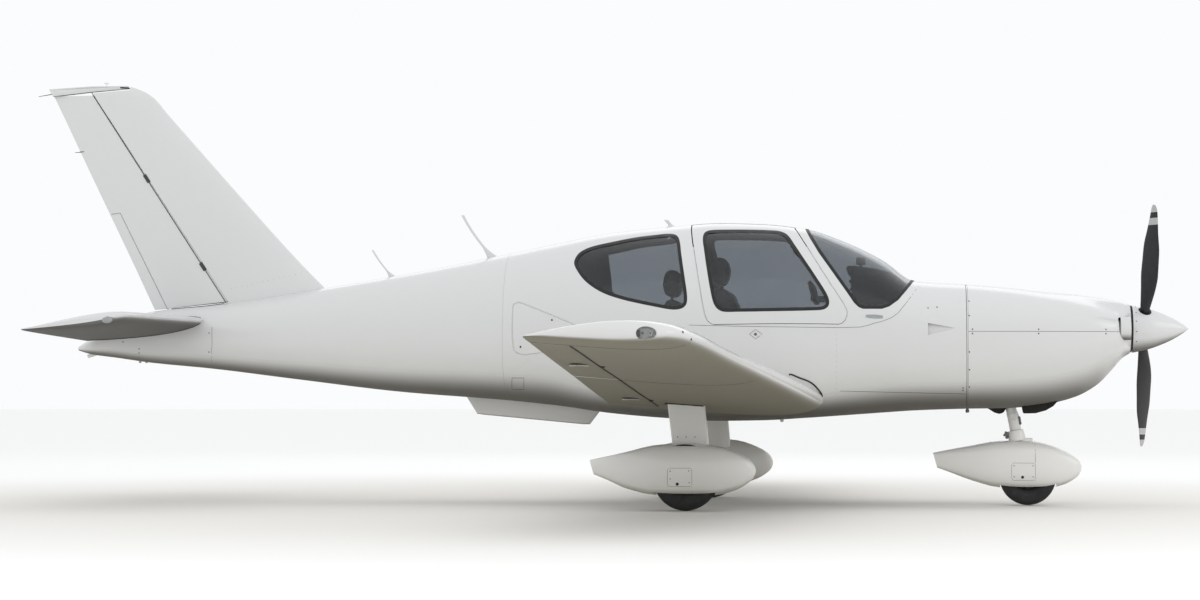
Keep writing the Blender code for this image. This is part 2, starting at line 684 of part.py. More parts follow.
def make_cowl():
    """Upper and lower cowlings, split at the level line, with a cooling intake on each
    side of the spinner."""
    front = COWL_STATIONS[0]
    halves = (
        ("cowl_upper", COWL_SPLIT_Z + SEAT_GAP / 2, 1.7),
        ("cowl_lower", 0.4, COWL_SPLIT_Z - SEAT_GAP / 2),
    )
    intake_z = COWL_SPLIT_Z + 0.022
    cowls = {}
    for name, low, high in halves:
        cowl = tube(name, fuselage_rings(COWL_STATIONS), fuselage_rings(COWL_STATIONS, SKIN), "white_paint")
        keep_inside(cowl, box(name + "_half", at(1.6, -1, low), at(front - 0.1, 1, high)))
        for side, word in ((1, "left"), (-1, "right")):
            y = side * 0.255
            start, end = at(0.75, y, intake_z), at(0.35, y, intake_z)
            cut(cowl, rod(f"{name}_intake_{word}", start, end, 0.075, sides=20))
        cowls[name] = cowl
    foot, head = [at(s, 0, z) for s, z in (NOSE_LEG_BOTTOM, NOSE_LEG_TOP)]
    cut(cowls["cowl_lower"], rod("leg_opening", foot, foot.lerp(head, 1.05), NOSE_LEG_RADIUS + 0.010))


def make_engine():
    """One plain block for the closed engine, with the crankshaft's nose and the mount."""
    engine = box("engine_block", at(1.30, -0.31, 0.88), at(0.70, 0.31, 1.21), "cast_grey")
    fuse(engine, rod("engine_nose", at(0.72, 0, PROP_AXIS_Z), at(0.3725, 0, PROP_AXIS_Z), 0.07))
    fuse(engine, box("engine_mount", at(COWL_STATIONS[-1], -0.2, 0.90), at(1.28, 0.2, 1.15)))
    return engine


def make_interior():
    panel_outline = (
        (1.830, 1.100), (1.830, 1.450), (1.920, 1.570), (2.225, 1.640), (2.240, 1.615),
        (2.205, 1.590), (2.190, 1.160), (2.050, 1.100),
    )
    panel = prism("instrument_panel", panel_outline, -0.8, 0.8, "black_plastic")
    room = loft("cabin_room", fuselage_rings(CABIN_STATIONS, WALL + SEAT_GAP))
    keep_inside(panel, room)

    for side, word in ((1, "left"), (-1, "right")):
        y = side * SEAT_Y
        yoke = rod(f"yoke_{word}", at(2.1985, y, 1.37), at(2.455, y, 1.37), 0.013, "black_plastic", 12)
        grips = (
            (-0.130, 1.455), (-0.130, 1.370), (-0.060, 1.345),
            (0.060, 1.345), (0.130, 1.370), (0.130, 1.455),
        )
        for i, (a, b) in enumerate(zip(grips, grips[1:])):
            lean = 0.25
            start = at(2.445 + lean * (a[1] - 1.345), y + a[0], a[1] + 0.012)
            end = at(2.445 + lean * (b[1] - 1.345), y + b[0], b[1] + 0.012)
            stretch = (end - start).normalized() * 0.006
            fuse(yoke, rod(f"yoke_{word}_grip_{i}", start - stretch, end + stretch, 0.014, sides=8))

    floor = FLOOR_Z + SEAT_GAP
    front_seat = (
        (2.600, floor), (2.580, 0.900), (2.560, 0.980), (2.570, 1.045), (2.620, 1.065), (2.900, 1.030),
        (2.935, 1.120), (2.945, 1.290), (2.985, 1.395), (3.035, 1.445), (3.100, 1.450), (3.145, 1.400),
        (3.120, 1.150), (3.070, 0.980), (3.050, floor),
    )
    headrest = (
        (3.035, 1.430), (3.020, 1.480), (3.025, 1.620), (3.050, 1.648), (3.095, 1.645), (3.118, 1.610),
        (3.122, 1.430),
    )
    for side, word, slide, drop in FRONT_SEATS:
        y = side * SEAT_Y
        cushions = [(s + slide, z - drop if z > floor else z) for s, z in front_seat]
        rest = [(s + slide, z - drop) for s, z in headrest]
        seat = prism(f"seat_front_{word}", cushions, y - 0.225, y + 0.225, "black_leather")
        fuse(seat, prism(f"headrest_{word}", rest, y - 0.125, y + 0.125))
    rear_seat = (
        (3.640, floor), (3.620, 0.960), (3.640, 1.020), (3.930, 0.990), (3.965, 1.100), (4.000, 1.330),
        (4.025, 1.360), (4.070, 1.350), (4.080, 1.290), (4.040, 0.980), (4.010, floor),
    )
    prism("seat_rear", rear_seat, -REAR_SEAT_HALF, REAR_SEAT_HALF, "black_leather")


def airfoil_ring(row, side, root_taper=0.0, camber=WING_CAMBER, shrink=0.0, half_count=8):
    """Points round an aerofoil: upper side from the trailing edge forwards, then the lower."""
    y, lead, trail, lead_z, trail_z, thickness = row
    chord = trail - lead
    shares = [0.5 * (1 + math.cos(math.pi * i / half_count)) for i in range(half_count + 1)]
    points = []
    for upper in (True, False):
        for i, share in enumerate(shares if upper else reversed(shares)):
            if not upper and i == 0:
                continue
            half = 5 * thickness * (0.2969 * math.sqrt(share) - 0.1260 * share - 0.3516 * share ** 2
                                    + 0.2843 * share ** 3 - 0.1036 * share ** 4)
            half = half * chord + 0.0018 * share - shrink
            middle = camber * chord * 4 * share * (1 - share)
            z = lead_z + (trail_z - lead_z) * share + middle + (half if upper else -half)
            station = lead + chord * share
            points.append(at(station, side * (y - root_taper * share), z))
    return points


def wing_row(y):
    return monotone(WING, y)


def hinge_place(y):
    """Hinge line of flap and aileron: station, z and the aerofoil's half thickness there."""
    _, lead, trail, lead_z, trail_z, thickness = wing_row(y)
    chord = trail - lead
    share = HINGE_CHORD_SHARE
    half = 5 * thickness * chord * (0.2969 * math.sqrt(share) - 0.1260 * share - 0.3516 * share ** 2
                                    + 0.2843 * share ** 3 - 0.1036 * share ** 4) + 0.0018 * share
    middle = WING_CAMBER * chord * 4 * share * (1 - share)
    return lead + chord * share, lead_z + (trail_z - lead_z) * share + middle, half


def surface_ring(y, side, gap=0.0, aft=None):
    """Section of a flap or aileron: a round nose about the hinge, then the aerofoil's tail.
    A gap makes the cutter of the cove, with aft as the station where it ends."""
    station, z, half = hinge_place(y)
    _, lead, trail, lead_z, trail_z, _ = wing_row(y)
    radius = half - 0.0006 + gap
    points = []
    for i in range(9):
        angle = math.radians(-90 + 180 * i / 8)
        points.append(at(station - radius * math.cos(angle), side * y, z + radius * math.sin(angle)))
    if aft:
        points.append(at(aft, side * y, z + radius))
        points.append(at(aft, side * y, z - radius))
        return points
    chord = trail - lead
    for share, upper in ((0.88, True), (1.0, True), (1.0, False), (0.88, False)):
        thick = wing_row(y)[5]
        part = 5 * thick * (0.2969 * math.sqrt(share) - 0.1260 * share - 0.3516 * share ** 2
                            + 0.2843 * share ** 3 - 0.1036 * share ** 4) * chord + 0.0018 * share
        middle = WING_CAMBER * chord * 4 * share * (1 - share)
        height = lead_z + (trail_z - lead_z) * share + middle + (part if upper else -part)
        points.append(at(lead + chord * share, side * y, height))
    return points


def hinge_lug(name, point, axis, forward, radius, thickness, reach):
    """A flat lug, round about the hinge point, that reaches forward into the fixed part."""
    across = axis.cross(forward).normalized()
    outline = []
    for i in range(9):
        angle = math.radians(90 + 180 * i / 8)
        outline.append(forward * (radius * math.cos(angle)) + across * (radius * math.sin(angle)))
    outline.append(forward * reach - across * radius)
    outline.append(forward * reach + across * radius)
    rings = [[point + axis * (sign * thickness / 2) + offset for offset in outline] for sign in (-1, 1)]
    return loft(name, rings)


def lug_slot(name, point, axis, forward, radius, thickness, reach, height):
    """The slot in a moving surface that its hinge lug fills between its two side faces."""
    across = axis.cross(forward).normalized()
    back = -(radius + 0.005)
    corners = ((back, -height), (reach, -height), (reach, height), (back, height))
    rings = []
    for sign in (-1, 1):
        middle = point + axis * (sign * (thickness / 2 + SEAT_GAP))
        rings.append([middle + forward * f + across * a for f, a in corners])
    return loft(name, rings)


def make_wing(envelope, side, word):
    rows = list(WING)
    wing = loft(f"wing_{word}", [airfoil_ring(row, side) for row in rows], "white_paint")
    cut(wing, envelope)
    start_y, end_y = FLAP_SPAN[0] - PANEL_GAP, AILERON_SPAN[1] + PANEL_GAP
    ys = (start_y, 1.6, 2.6, 3.6, end_y)
    cut(wing, loft(f"cove_{word}", [surface_ring(y, side, COVE_GAP, 3.95) for y in ys]))
    for kind, span in (("flap", FLAP_SPAN), ("aileron", AILERON_SPAN)):
        knots = (span[0], sum(span) / 2, span[1])
        surface = loft(f"{kind}_{word}", [surface_ring(y, side) for y in knots], "white_paint")
        ends = [at(hinge_place(y)[0], side * y, hinge_place(y)[1]) for y in span]
        axis = (ends[1] - ends[0]).normalized()
        forward = Vector((1, 0, 0))
        forward = (forward - axis * forward.dot(axis)).normalized()
        for i, y in enumerate(WING_HINGE_YS[kind]):
            share = (y - span[0]) / (span[1] - span[0])
            point = ends[0].lerp(ends[1], share)
            half = hinge_place(y)[2]
            radius = half * 0.55
            lug = hinge_lug(f"{kind}_lug_{word}_{i}", point, axis, forward, radius, 0.012, half + 0.045)
            fuse(wing, lug)
            cut(surface, lug_slot(f"{kind}_slot_{word}_{i}", point, axis, forward, radius, 0.012,
                                  half + 0.02, half + 0.03))
        carry(f"axis_{kind}_{word}", ends[0].lerp(ends[1], 0.5), surface)
    return wing


def make_tailplane():
    """The all-moving tailplane: two halves on one tube through the tail cone."""
    station, z = TAILPLANE_HINGE
    ends = at(station, -0.45, z), at(station, 0.45, z)
    plane = rod("tailplane", *ends, TAILPLANE_TUBE_RADIUS, "white_paint")
    for side, word in ((1, "left"), (-1, "right")):
        rings = []
        for i, row in enumerate(TAILPLANE):
            taper = TAILPLANE_ROOT_TAPER if i == 0 else 0.0
            rings.append(airfoil_ring(row, side, taper, camber=0.0))
        fuse(plane, loft(f"tailplane_half_{word}", rings))
    carry("axis_tailplane", at(station, 0, z), plane)


def fin_row(z):
    return monotone(FIN, z)


def rudder_station(z):
    (low_s, low_z), (high_s, high_z) = RUDDER_AXIS
    return low_s + (high_s - low_s) * (z - low_z) / (high_z - low_z)


def fin_ring(row, half_count=7):
    """Horizontal section of fin and rudder together, as a flat-sided aerofoil."""
    z, lead, trail, half = row
    chord = trail - lead
    shares = [0.5 * (1 + math.cos(math.pi * i / half_count)) for i in range(half_count + 1)]
    points = []
    for sign in (1, -1):
        for i, share in enumerate(shares if sign > 0 else reversed(shares)):
            if sign < 0 and i == 0:
                continue
            points.append(at(lead + chord * share, sign * fin_half(share, half), z))
    return points


def fin_half(share, half):
    """Half thickness of the fin's section at a share of its chord."""
    form = 0.2969 * math.sqrt(share) - 0.1260 * share - 0.3516 * share ** 2
    form += 0.2843 * share ** 3 - 0.1036 * share ** 4
    return half * 10 * form + 0.002 * share


def rudder_ring(z, gap=0.0, aft=None):
    """Horizontal section of the rudder, with a nose that is round about its slanted hinge."""
    _, lead, trail, half = fin_row(z)
    station = rudder_station(z)
    (low_s, low_z), (high_s, high_z) = RUDDER_AXIS
    slant = math.atan2(high_s - low_s, high_z - low_z)
    share = (station - lead) / (trail - lead)
    radius = fin_half(share, half) - 0.0006 + gap
    points = []
    for i in range(9):
        angle = math.radians(-90 + 180 * i / 8)
        points.append(at(station - radius * math.cos(angle) / math.cos(slant), radius * math.sin(angle), z))
    if aft:
        points += [at(aft, radius, z), at(aft, -radius, z)]
        return points
    for part, sign in ((0.75, 1), (1.0, 1), (1.0, -1), (0.75, -1)):
        here = station + (trail - station) * part
        thick = fin_half((here - lead) / (trail - lead), half)
        points.append(at(here, sign * thick, z))
    return points


def make_fin(envelope):
    fin = loft("fin", [fin_ring(row) for row in FIN], "white_paint")
    cut(fin, envelope)
    low, high = [at(s, 0, z) for s, z in RUDDER_AXIS]
    axis = (high - low).normalized()
    cove = [rudder_ring(z, COVE_GAP, 7.9) for z in (1.20, 1.64, 2.05, 2.45, 2.80)]
    cove.append([point + axis * 0.06 for point in cove[-1]])
    cut(fin, loft("fin_cove", cove))
    seam = ((7.174, 2.835), (7.446, 2.814), (7.80, 2.777), (7.80, 2.95), (7.174, 2.95))
    cut(fin, prism("fin_horn_space", seam, -0.2, 0.2))

    zs = (1.285, 1.64, 2.05, 2.45, RUDDER_TOP)
    rudder = loft("rudder", [rudder_ring(z) for z in zs], "white_paint")
    forward = Vector((1, 0, 0))
    forward = (forward - axis * forward.dot(axis)).normalized()
    deck_cut = ((6.30, 1.20), (7.30, 1.20), (7.30, 1.283), (6.95, 1.319), (6.47, 1.369), (6.30, 1.387))
    cut(rudder, prism("rudder_foot_trim", deck_cut, -0.2, 0.2))
    for i, z in enumerate(RUDDER_HINGE_ZS):
        point = low.lerp(high, (z - RUDDER_AXIS[0][1]) / (RUDDER_AXIS[1][1] - RUDDER_AXIS[0][1]))
        _, lead, trail, half = fin_row(z)
        thick = fin_half((rudder_station(z) - lead) / (trail - lead), half)
        radius = thick * 0.6
        fuse(fin, hinge_lug(f"rudder_lug_{i}", point, axis, forward, radius, 0.014, thick + 0.04))
        slot = lug_slot(f"rudder_slot_{i}", point, axis, forward, radius, 0.014, thick + 0.02, thick + 0.03)
        cut(rudder, slot)
    horn = loft("rudder_horn", [[at(s, y * (0.35 if s < 7.2 else 1.0), z) for s, z in HORN]
                                for y in (-0.024, 0.024)])
    fuse(rudder, horn)
    carry("axis_rudder", low.lerp(high, 0.5), rudder)


def make_keel(envelope):
    """Ventral keel under the cabin's aft end, with a rounded lower edge."""
    rings = []
    for y, shrink in ((-0.026, 0.012), (-0.018, 0.0), (0.018, 0.0), (0.026, 0.012)):
        outline = grown(KEEL, -shrink) if shrink else KEEL
        rings.append([at(s, y, z) for s, z in outline])
    keel = loft("ventral_keel", rings, "white_paint")
    cut(keel, envelope)


def strut_ring(station, y, z, chord, thickness, count=16):
    """A streamlined tube's level section."""
    points = []
    for i in range(count):
        angle = 2 * math.pi * i / count
        x = math.cos(angle)
        swell = 1.0 + 0.25 * x
        points.append(at(station - chord / 2 * x, y + thickness / 2 * math.sin(angle) * swell, z))
    return points


def spat_rings(table, station, y, grow=0.0, count=20):
    rings = []
    for offset, half, top, bottom in table:
        middle, height = (top + bottom) / 2, (top - bottom) / 2
        ring = []
        for i in range(count):
            angle = 2 * math.pi * i / count
            c, s = math.cos(angle), math.sin(angle)
            ring.append(at(station + offset,
                           y + (half + grow) * math.copysign(abs(s) ** 0.72, s),
                           middle + (height + grow) * math.copysign(abs(c) ** 0.72, c)))
        rings.append(ring)
    return rings


def make_wheel(word, centre, radius, width, axle_radius):
    """A tyre on its two-part rim. The rim's bore runs on the axle."""
    half = width / 2
    bead = radius * 0.42
    tyre_profile = (
        (-half * 0.55, bead), (-half * 0.86, radius * 0.55), (-half, radius * 0.74),
        (-half * 0.88, radius * 0.90), (-half * 0.45, radius), (half * 0.45, radius),
        (half * 0.88, radius * 0.90), (half, radius * 0.74), (half * 0.86, radius * 0.55),
        (half * 0.55, bead),
    )
    tyre = turned(f"{word}_tyre", tyre_profile, centre, (0, 1, 0), "tyre_rubber", 28)
    rim_radius = bead - SEAT_GAP * 2
    bore = (axle_radius + SEAT_GAP) / math.cos(math.pi / 24)
    rim_profile = (
        (-half * 0.66, bore), (-half * 0.66, bore + 0.02), (-half * 0.30, bore + 0.026),
        (-half * 0.42, rim_radius), (half * 0.42, rim_radius),
        (half * 0.30, bore + 0.026), (half * 0.66, bore + 0.02), (half * 0.66, bore),
    )
    rim = turned(f"{word}_rim", rim_profile, centre, (0, 1, 0), "bare_aluminium", 24)
    return tyre, rim


def make_main_gear(side, word):
    """Fixed leg under the wing, the arm with the axle inside the spat, and the wheel."""
    y = side * WHEEL_TRACK / 2
    station, radius = MAIN_WHEEL_STATION, MAIN_TYRE_RADIUS
    centre = at(station, y, radius)
    half = MAIN_TYRE_WIDTH / 2
    arm_inner = half + TYRE_GAP
    arm_outer = arm_inner + 0.020
    arm_top = 0.52

    def arm_box(name, grow, material_name=None):
        inner = arm_inner - (TYRE_GAP / 2 if grow else 0)
        ys = sorted((y - side * inner, y - side * (arm_outer + grow)))
        low = (centre.x - 0.028 - grow, ys[0], radius - 0.028 - grow)
        high = (centre.x + 0.028 + grow, ys[1], arm_top + grow)
        return box(name, low, high, material_name)

    wing_space = loft(f"wing_space_{word}", [airfoil_ring(row, side, shrink=-SEAT_GAP) for row in WING])
    spat_space = loft(f"spat_space_{word}", spat_rings(MAIN_SPAT, station, y, SEAT_GAP))
    arm_space = arm_box(f"arm_space_{word}", SEAT_GAP)
    leg_y = y - side * (arm_inner + arm_outer) / 2
    leg = loft(f"main_leg_{word}", [strut_ring(3.250, leg_y, 0.80, 0.244, 0.066),
                                    strut_ring(3.205, leg_y, 0.36, 0.228, 0.070)], "white_paint")
    cut(leg, spat_space, wing_space, arm_space)

    axle = arm_box(f"main_axle_{word}", 0.0, "steel")
    fuse(axle, rod(f"axle_stub_{word}", (centre.x, y - side * (arm_inner + 0.01), radius),
                   (centre.x, y + side * half * 0.72, radius), MAIN_AXLE_RADIUS))
    spat = loft(f"main_spat_{word}", spat_rings(MAIN_SPAT, station, y), "white_paint")
    cut(spat, wheel_well(word, centre, radius, half), arm_space)
    wheel = make_wheel(f"main_{word}", centre, radius, MAIN_TYRE_WIDTH, MAIN_AXLE_RADIUS)
    carry(f"axis_main_wheel_{word}", centre, *wheel)


def wheel_well(word, centre, radius, half):
    """The space that a wheel leaves in its spat, open below."""
    side_step = Vector((0, half + TYRE_GAP, 0))
    return rod(f"wheel_well_{word}", centre - side_step, centre + side_step, radius + TYRE_GAP, sides=28)


def steering_axis():
    foot, head = [at(s, 0, z) for s, z in (NOSE_LEG_BOTTOM, NOSE_LEG_TOP)]
    return foot, (head - foot).normalized()


def make_nose_gear():
    """Fixed leg tube, the steered fork with its spat, and the wheel."""
    foot, axis = steering_axis()

    def on_axis(z):
        return foot + axis * ((z - foot.z) / axis.z)

    engine_space = box("engine_space", at(1.40, -0.4, 0.88 - SEAT_GAP), at(0.9, 0.4, 1.2))
    leg_foot = on_axis(NOSE_COLLAR_TOP) + axis * SEAT_GAP
    leg = rod("nose_leg", leg_foot, on_axis(0.93), NOSE_LEG_RADIUS, "white_paint")
    cut(leg, engine_space)

    radius, half = NOSE_TYRE_RADIUS, NOSE_TYRE_WIDTH / 2
    centre = at(NOSE_WHEEL_STATION, 0, radius)
    arm_inner = half + TYRE_GAP
    arm_outer = arm_inner + 0.018
    bridge_low = 2 * radius + TYRE_GAP + 0.003
    bridge_high = bridge_low + 0.015

    def fork_pieces(word, grow, material_name=None):
        pieces = [rod(f"nose_{word}", on_axis(0.425), on_axis(NOSE_COLLAR_TOP), 0.058 + grow, material_name)]
        low = bridge_low - (TYRE_GAP if grow else 0)
        inner = arm_inner - (TYRE_GAP / 2 if grow else 0)
        pieces.append(box(f"{word}_post", (centre.x - 0.075 - grow, -0.035 - grow, low),
                          (centre.x + 0.034 + grow, 0.035 + grow, 0.445)))
        pieces.append(box(f"{word}_bridge", (centre.x - 0.030 - grow, -arm_outer - grow, low + grow),
                          (centre.x + 0.030 + grow, arm_outer + grow, bridge_high + grow)))
        for side, hand in ((1, "left"), (-1, "right")):
            ys = sorted((side * inner, side * (arm_outer + grow)))
            pieces.append(box(f"{word}_arm_{hand}", (centre.x - 0.024 - grow, ys[0], radius - 0.024 - grow),
                              (centre.x + 0.024 + grow, ys[1], bridge_high + grow)))
        return pieces

    fork, *fork_limbs = fork_pieces("fork", 0.0, "white_paint")
    fork_limbs.append(rod("fork_axle", (centre.x, -arm_inner - 0.01, radius),
                          (centre.x, arm_inner + 0.01, radius), NOSE_AXLE_RADIUS))
    fuse(fork, *fork_limbs)
    spat = loft("nose_spat", spat_rings(NOSE_SPAT, NOSE_WHEEL_STATION, 0.0), "white_paint")
    cut(spat, wheel_well("nose", centre, radius, half), *fork_pieces("fork_space", SEAT_GAP))
    wheel = make_wheel("nose", centre, radius, NOSE_TYRE_WIDTH, NOSE_AXLE_RADIUS)
    steer = carry("axis_nose_steering", foot, fork, spat)
    spin = carry("axis_nose_wheel", centre, *wheel)
    spin.parent = steer
    spin.matrix_parent_inverse = Matrix.Translation(-foot)


def make_propeller():
    """Spinner, hub and two twisted blades, the upper blade leaning to the right."""
    centre = at(PROP_STATION, 0, PROP_AXIS_Z)
    tip = at(0, 0, PROP_AXIS_Z)
    skin = 0.004
    profile = [(x, r) for x, r in SPINNER]
    base_x, base_r = SPINNER[-1]
    profile += [(base_x + 0.008, base_r), (base_x + 0.008, HUB_RADIUS + 0.001), (base_x, HUB_RADIUS + 0.001),
                (base_x, base_r - skin * 1.5)]
    profile += [(x + skin * 0.8, r - skin * 1.5) for x, r in reversed(SPINNER[2:-1])] + [(0.022, 0.0)]
    spinner = turned("spinner", profile, tip, (-1, 0, 0), "white_paint", 28)
    hub = rod("prop_hub", at(0.195, 0, PROP_AXIS_Z), at(0.372, 0, PROP_AXIS_Z), HUB_RADIUS, "steel", 24)
    moved = [spinner, hub]
    for i, turn_deg in enumerate((PROP_TILT_DEG, PROP_TILT_DEG + 180)):
        turn = Matrix.Rotation(math.radians(turn_deg), 3, "X")
        rings = []
        for radius, chord, thick, pitch_deg in BLADE:
            pitch = math.radians(pitch_deg)
            along = Vector((math.sin(pitch), -math.cos(pitch), 0))
            across = Vector((math.cos(pitch), math.sin(pitch), 0))
            ring = []
            for k in range(12):
                angle = 2 * math.pi * k / 12
                flat = along * (chord / 2 * math.cos(angle)) + across * (thick / 2 * math.sin(angle))
                ring.append(centre + turn @ (flat + Vector((0, 0, radius))))
            rings.append(ring)
        moved.append(loft(f"blade_{i + 1}", rings, "charcoal_paint"))
        start = centre + turn @ Vector((0, 0, 0.07))
        end = centre + turn @ Vector((0, 0, 0.20))
        cut(spinner, rod(f"blade_hole_{i + 1}", start, end, 0.036, sides=20))
    carry("axis_propeller", centre, *moved)


def make_small_parts(envelope):
    """Aerials on the roof and the tail cone, and the exhaust outlet."""
    for name, base, base_z, tip, tip_z, chord in ANTENNAS:
        rings = []
        for share, size in ((-0.10, 1.25), (0.06, 0.95), (0.22, 0.55), (1.0, 0.22)):
            station = base + (tip - base) * share
            z = base_z + (tip_z - base_z) * share
            rings.append(strut_ring(station, 0.0, z, chord * size, 0.018 * size, 10))
        mast = loft(name, rings, "white_paint")
        cut(mast, envelope)
    exhaust = prism("exhaust_stack", EXHAUST, EXHAUST_Y - 0.05, EXHAUST_Y + 0.05, "soot_black")
    cut(exhaust, envelope)
    aft = EXHAUST[0][0]
    low, high = at(aft + 0.05, EXHAUST_Y - 0.038, 0.618), at(aft - 0.12, EXHAUST_Y + 0.038, 0.63)
    cut(exhaust, box("exhaust_bore", low, high))


def carry(name, point, *pieces):
    """An empty on a joint's axis that carries the moving pieces."""
    axis = bpy.data.objects.new(name, None)
    axis.location = point
    AIRCRAFT.objects.link(axis)
    for piece in pieces:
        piece.parent = axis
        piece.matrix_parent_inverse = Matrix.Translation(-Vector(point))
    return axis


def run():
    envelope = make_envelope()
    make_fuselage(envelope)
    make_cowl()
    make_engine()
    make_interior()
    for side, word in ((1, "left"), (-1, "right")):
        make_wing(envelope, side, word)
        make_main_gear(side, word)
    make_tailplane()
    make_fin(envelope)
    make_keel(envelope)
    make_nose_gear()
    make_propeller()
    make_small_parts(envelope)


run()
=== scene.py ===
# %% [markdown]
# # Dressing a light aircraft
# A four-seat touring aircraft stands on its gear, seen from its right side. Its solids come
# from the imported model, which knows how the doors, wheels, flaps and propeller move. This
# lesson gives it its looks: smooth painted skins, smoked windows, stitched seats and the
# small things that a mechanic would point at.
# %% Load the aircraft's frame
import math

import bpy
import numpy as np
from mathutils import Matrix, Vector


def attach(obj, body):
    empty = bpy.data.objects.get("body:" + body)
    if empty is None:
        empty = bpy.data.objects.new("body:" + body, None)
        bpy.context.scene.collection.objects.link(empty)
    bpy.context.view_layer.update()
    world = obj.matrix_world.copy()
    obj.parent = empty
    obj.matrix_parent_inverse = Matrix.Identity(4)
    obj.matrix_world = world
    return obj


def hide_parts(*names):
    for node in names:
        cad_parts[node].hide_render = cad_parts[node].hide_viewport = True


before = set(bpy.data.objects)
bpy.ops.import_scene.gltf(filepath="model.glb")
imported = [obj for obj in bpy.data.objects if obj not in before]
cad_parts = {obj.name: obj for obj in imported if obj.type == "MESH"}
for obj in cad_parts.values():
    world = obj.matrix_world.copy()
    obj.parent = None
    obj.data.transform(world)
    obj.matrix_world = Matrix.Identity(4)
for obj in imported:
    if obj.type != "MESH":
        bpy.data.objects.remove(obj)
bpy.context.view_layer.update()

# %% [markdown]
# ## Where things are
# Aircraft drawings measure along the fuselage in stations, metres aft of the spinner's tip.
# One function turns a station, a distance to the left and a height into a point, so every
# table below reads like a drawing.
# %% Stations
NOSE_X = 3.875


def at(station, y, z):
    return Vector((NOSE_X - station, y, z))


# %% [markdown]
# ## Camera and light first
# The photograph is taken from the right, about eighteen metres away, a little above the
# ground, and looks slightly upwards. The camera goes there before anything is modelled, so
# that each piece can be compared with the picture. The light is a pale studio: a bright
# overcast sky all round, one very large soft key from above and two weaker ones, so that
# the gloss paint is lightest on its upper sides and dark underneath. Colours are shown as
# they are, without a film curve, which keeps the white background white.
# %% Camera, floor and lamps
def hex_to_linear(code):
    parts = [int(code[i:i + 2], 16) / 255 for i in (1, 3, 5)]
    return tuple(p / 12.92 if p <= 0.04045 else ((p + 0.055) / 1.055) ** 2.4 for p in parts)


CAMERA_PLACE = (1.9814, -18.0, 0.6951)
CAMERA_YAW_DEG = 6.382
CAMERA_PITCH_DEG = 2.137
camera_data = bpy.data.cameras.new("camera")
camera_data.sensor_width = 36.0
camera_data.lens = 80.408
camera_data.clip_end = 200
camera = bpy.data.objects.new("camera", camera_data)
bpy.context.scene.collection.objects.link(camera)
camera.location = CAMERA_PLACE
camera.rotation_euler = (math.radians(90 + CAMERA_PITCH_DEG), 0, math.radians(CAMERA_YAW_DEG))
bpy.context.scene.camera = camera

bpy.ops.object.select_all(action="DESELECT")
bpy.ops.mesh.primitive_plane_add(size=400, location=(0, 0, -0.002))
floor = bpy.context.object
floor.name = "studio_floor"

LAMPS = (
    # name, place, size x, size y, watts
    ("key", (2.0, -12.5, 8.5), 15.0, 6.0, 220),
    ("front", (14.0, -5.0, 6.0), 7.0, 6.0, 170),
    ("back", (0.0, 13.0, 9.0), 14.0, 5.0, 110),
)
for lamp_name, place, size_x, size_y, watts in LAMPS:
    lamp_data = bpy.data.lights.new(lamp_name, "AREA")
    lamp_data.shape = "RECTANGLE"
    lamp_data.size, lamp_data.size_y, lamp_data.energy = size_x, size_y, watts
    lamp = bpy.data.objects.new(lamp_name, lamp_data)
    lamp.visible_glossy = lamp_name != "key"
    lamp.location = place
    lamp.rotation_euler = (Vector((0, 0, 1)) - Vector(place)).to_track_quat("-Z", "Y").to_euler()
    bpy.context.scene.collection.objects.link(lamp)

world = bpy.data.worlds.new("studio")
world.use_nodes = True
world.node_tree.nodes["Background"].inputs["Color"].default_value = (*hex_to_linear("#FBFCFD"), 1)
world.node_tree.nodes["Background"].inputs["Strength"].default_value = 1.0
bpy.context.scene.world = world
bpy.context.scene.view_settings.view_transform = "Standard"
print("camera", camera.location[:], "lamps", len(LAMPS))

# %% [markdown]
# ## One way to make a node
# A finish is a small graph of shader nodes. One function adds a node with its settings and
# its links; everything below is made with it.
# %% Node helper
def add_node(material, kind, settings=None, links=None):
    """Adds a node. links maps an input's name or number to a value or to (node, output)."""
    node = material.node_tree.nodes.new(kind)
    for key, value in (settings or {}).items():
        setattr(node, key, value)
    for key, value in (links or {}).items():
        if isinstance(value, tuple) and len(value) == 2 and isinstance(value[0], bpy.types.Node):
            material.node_tree.links.new(value[0].outputs[value[1]], node.inputs[key])
        else:
            node.inputs[key].default_value = value
    return node


def new_finish(name, **sockets):
    """A material with constant values straight on its shader's sockets."""
    material = bpy.data.materials.new(name)
    material.use_nodes = True
    shader = material.node_tree.nodes["Principled BSDF"]
    for key, value in sockets.items():
        shader.inputs[key.replace("_", " ")].default_value = value
    return material, shader


def link(material, source, output, target, socket):
    material.node_tree.links.new(source.outputs[output], target.inputs[socket])


def colour(code):
    return (*hex_to_linear(code), 1.0)


def noise(material, coordinates, scale, detail=3.0, roughness=0.5):
    return add_node(material, "ShaderNodeTexNoise", {}, {
        "Vector": (coordinates, "Object"), "Scale": scale, "Detail": detail, "Roughness": roughness})


# %% [markdown]
# ## Studio floor
# The floor is a matt studio floor with a painted shadow: a warm grey where the aircraft
# stands, which keeps its undersides dark, and nearly white further off, where it meets
# the backdrop.
# %% Floor finish
def make_floor(near, far, start, end):
    material, shader = new_finish("matt_floor_paint", Roughness=0.9, Specular_IOR_Level=0.1)
    place = add_node(material, "ShaderNodeTexCoord")
    reach = add_node(material, "ShaderNodeVectorMath", {"operation": "LENGTH"}, {0: (place, "Object")})
    share = add_node(material, "ShaderNodeMapRange", {"interpolation_type": "SMOOTHSTEP"}, {
        "Value": (reach, "Value"), "From Min": start, "From Max": end})
    # The near colour is a painted shadow round the aircraft.
    mix = add_node(material, "ShaderNodeMix", {"data_type": "RGBA"}, {
        "Factor": (share, 0), 6: colour(near), 7: colour(far)})
    link(material, mix, 2, shader, "Base Color")
    return material


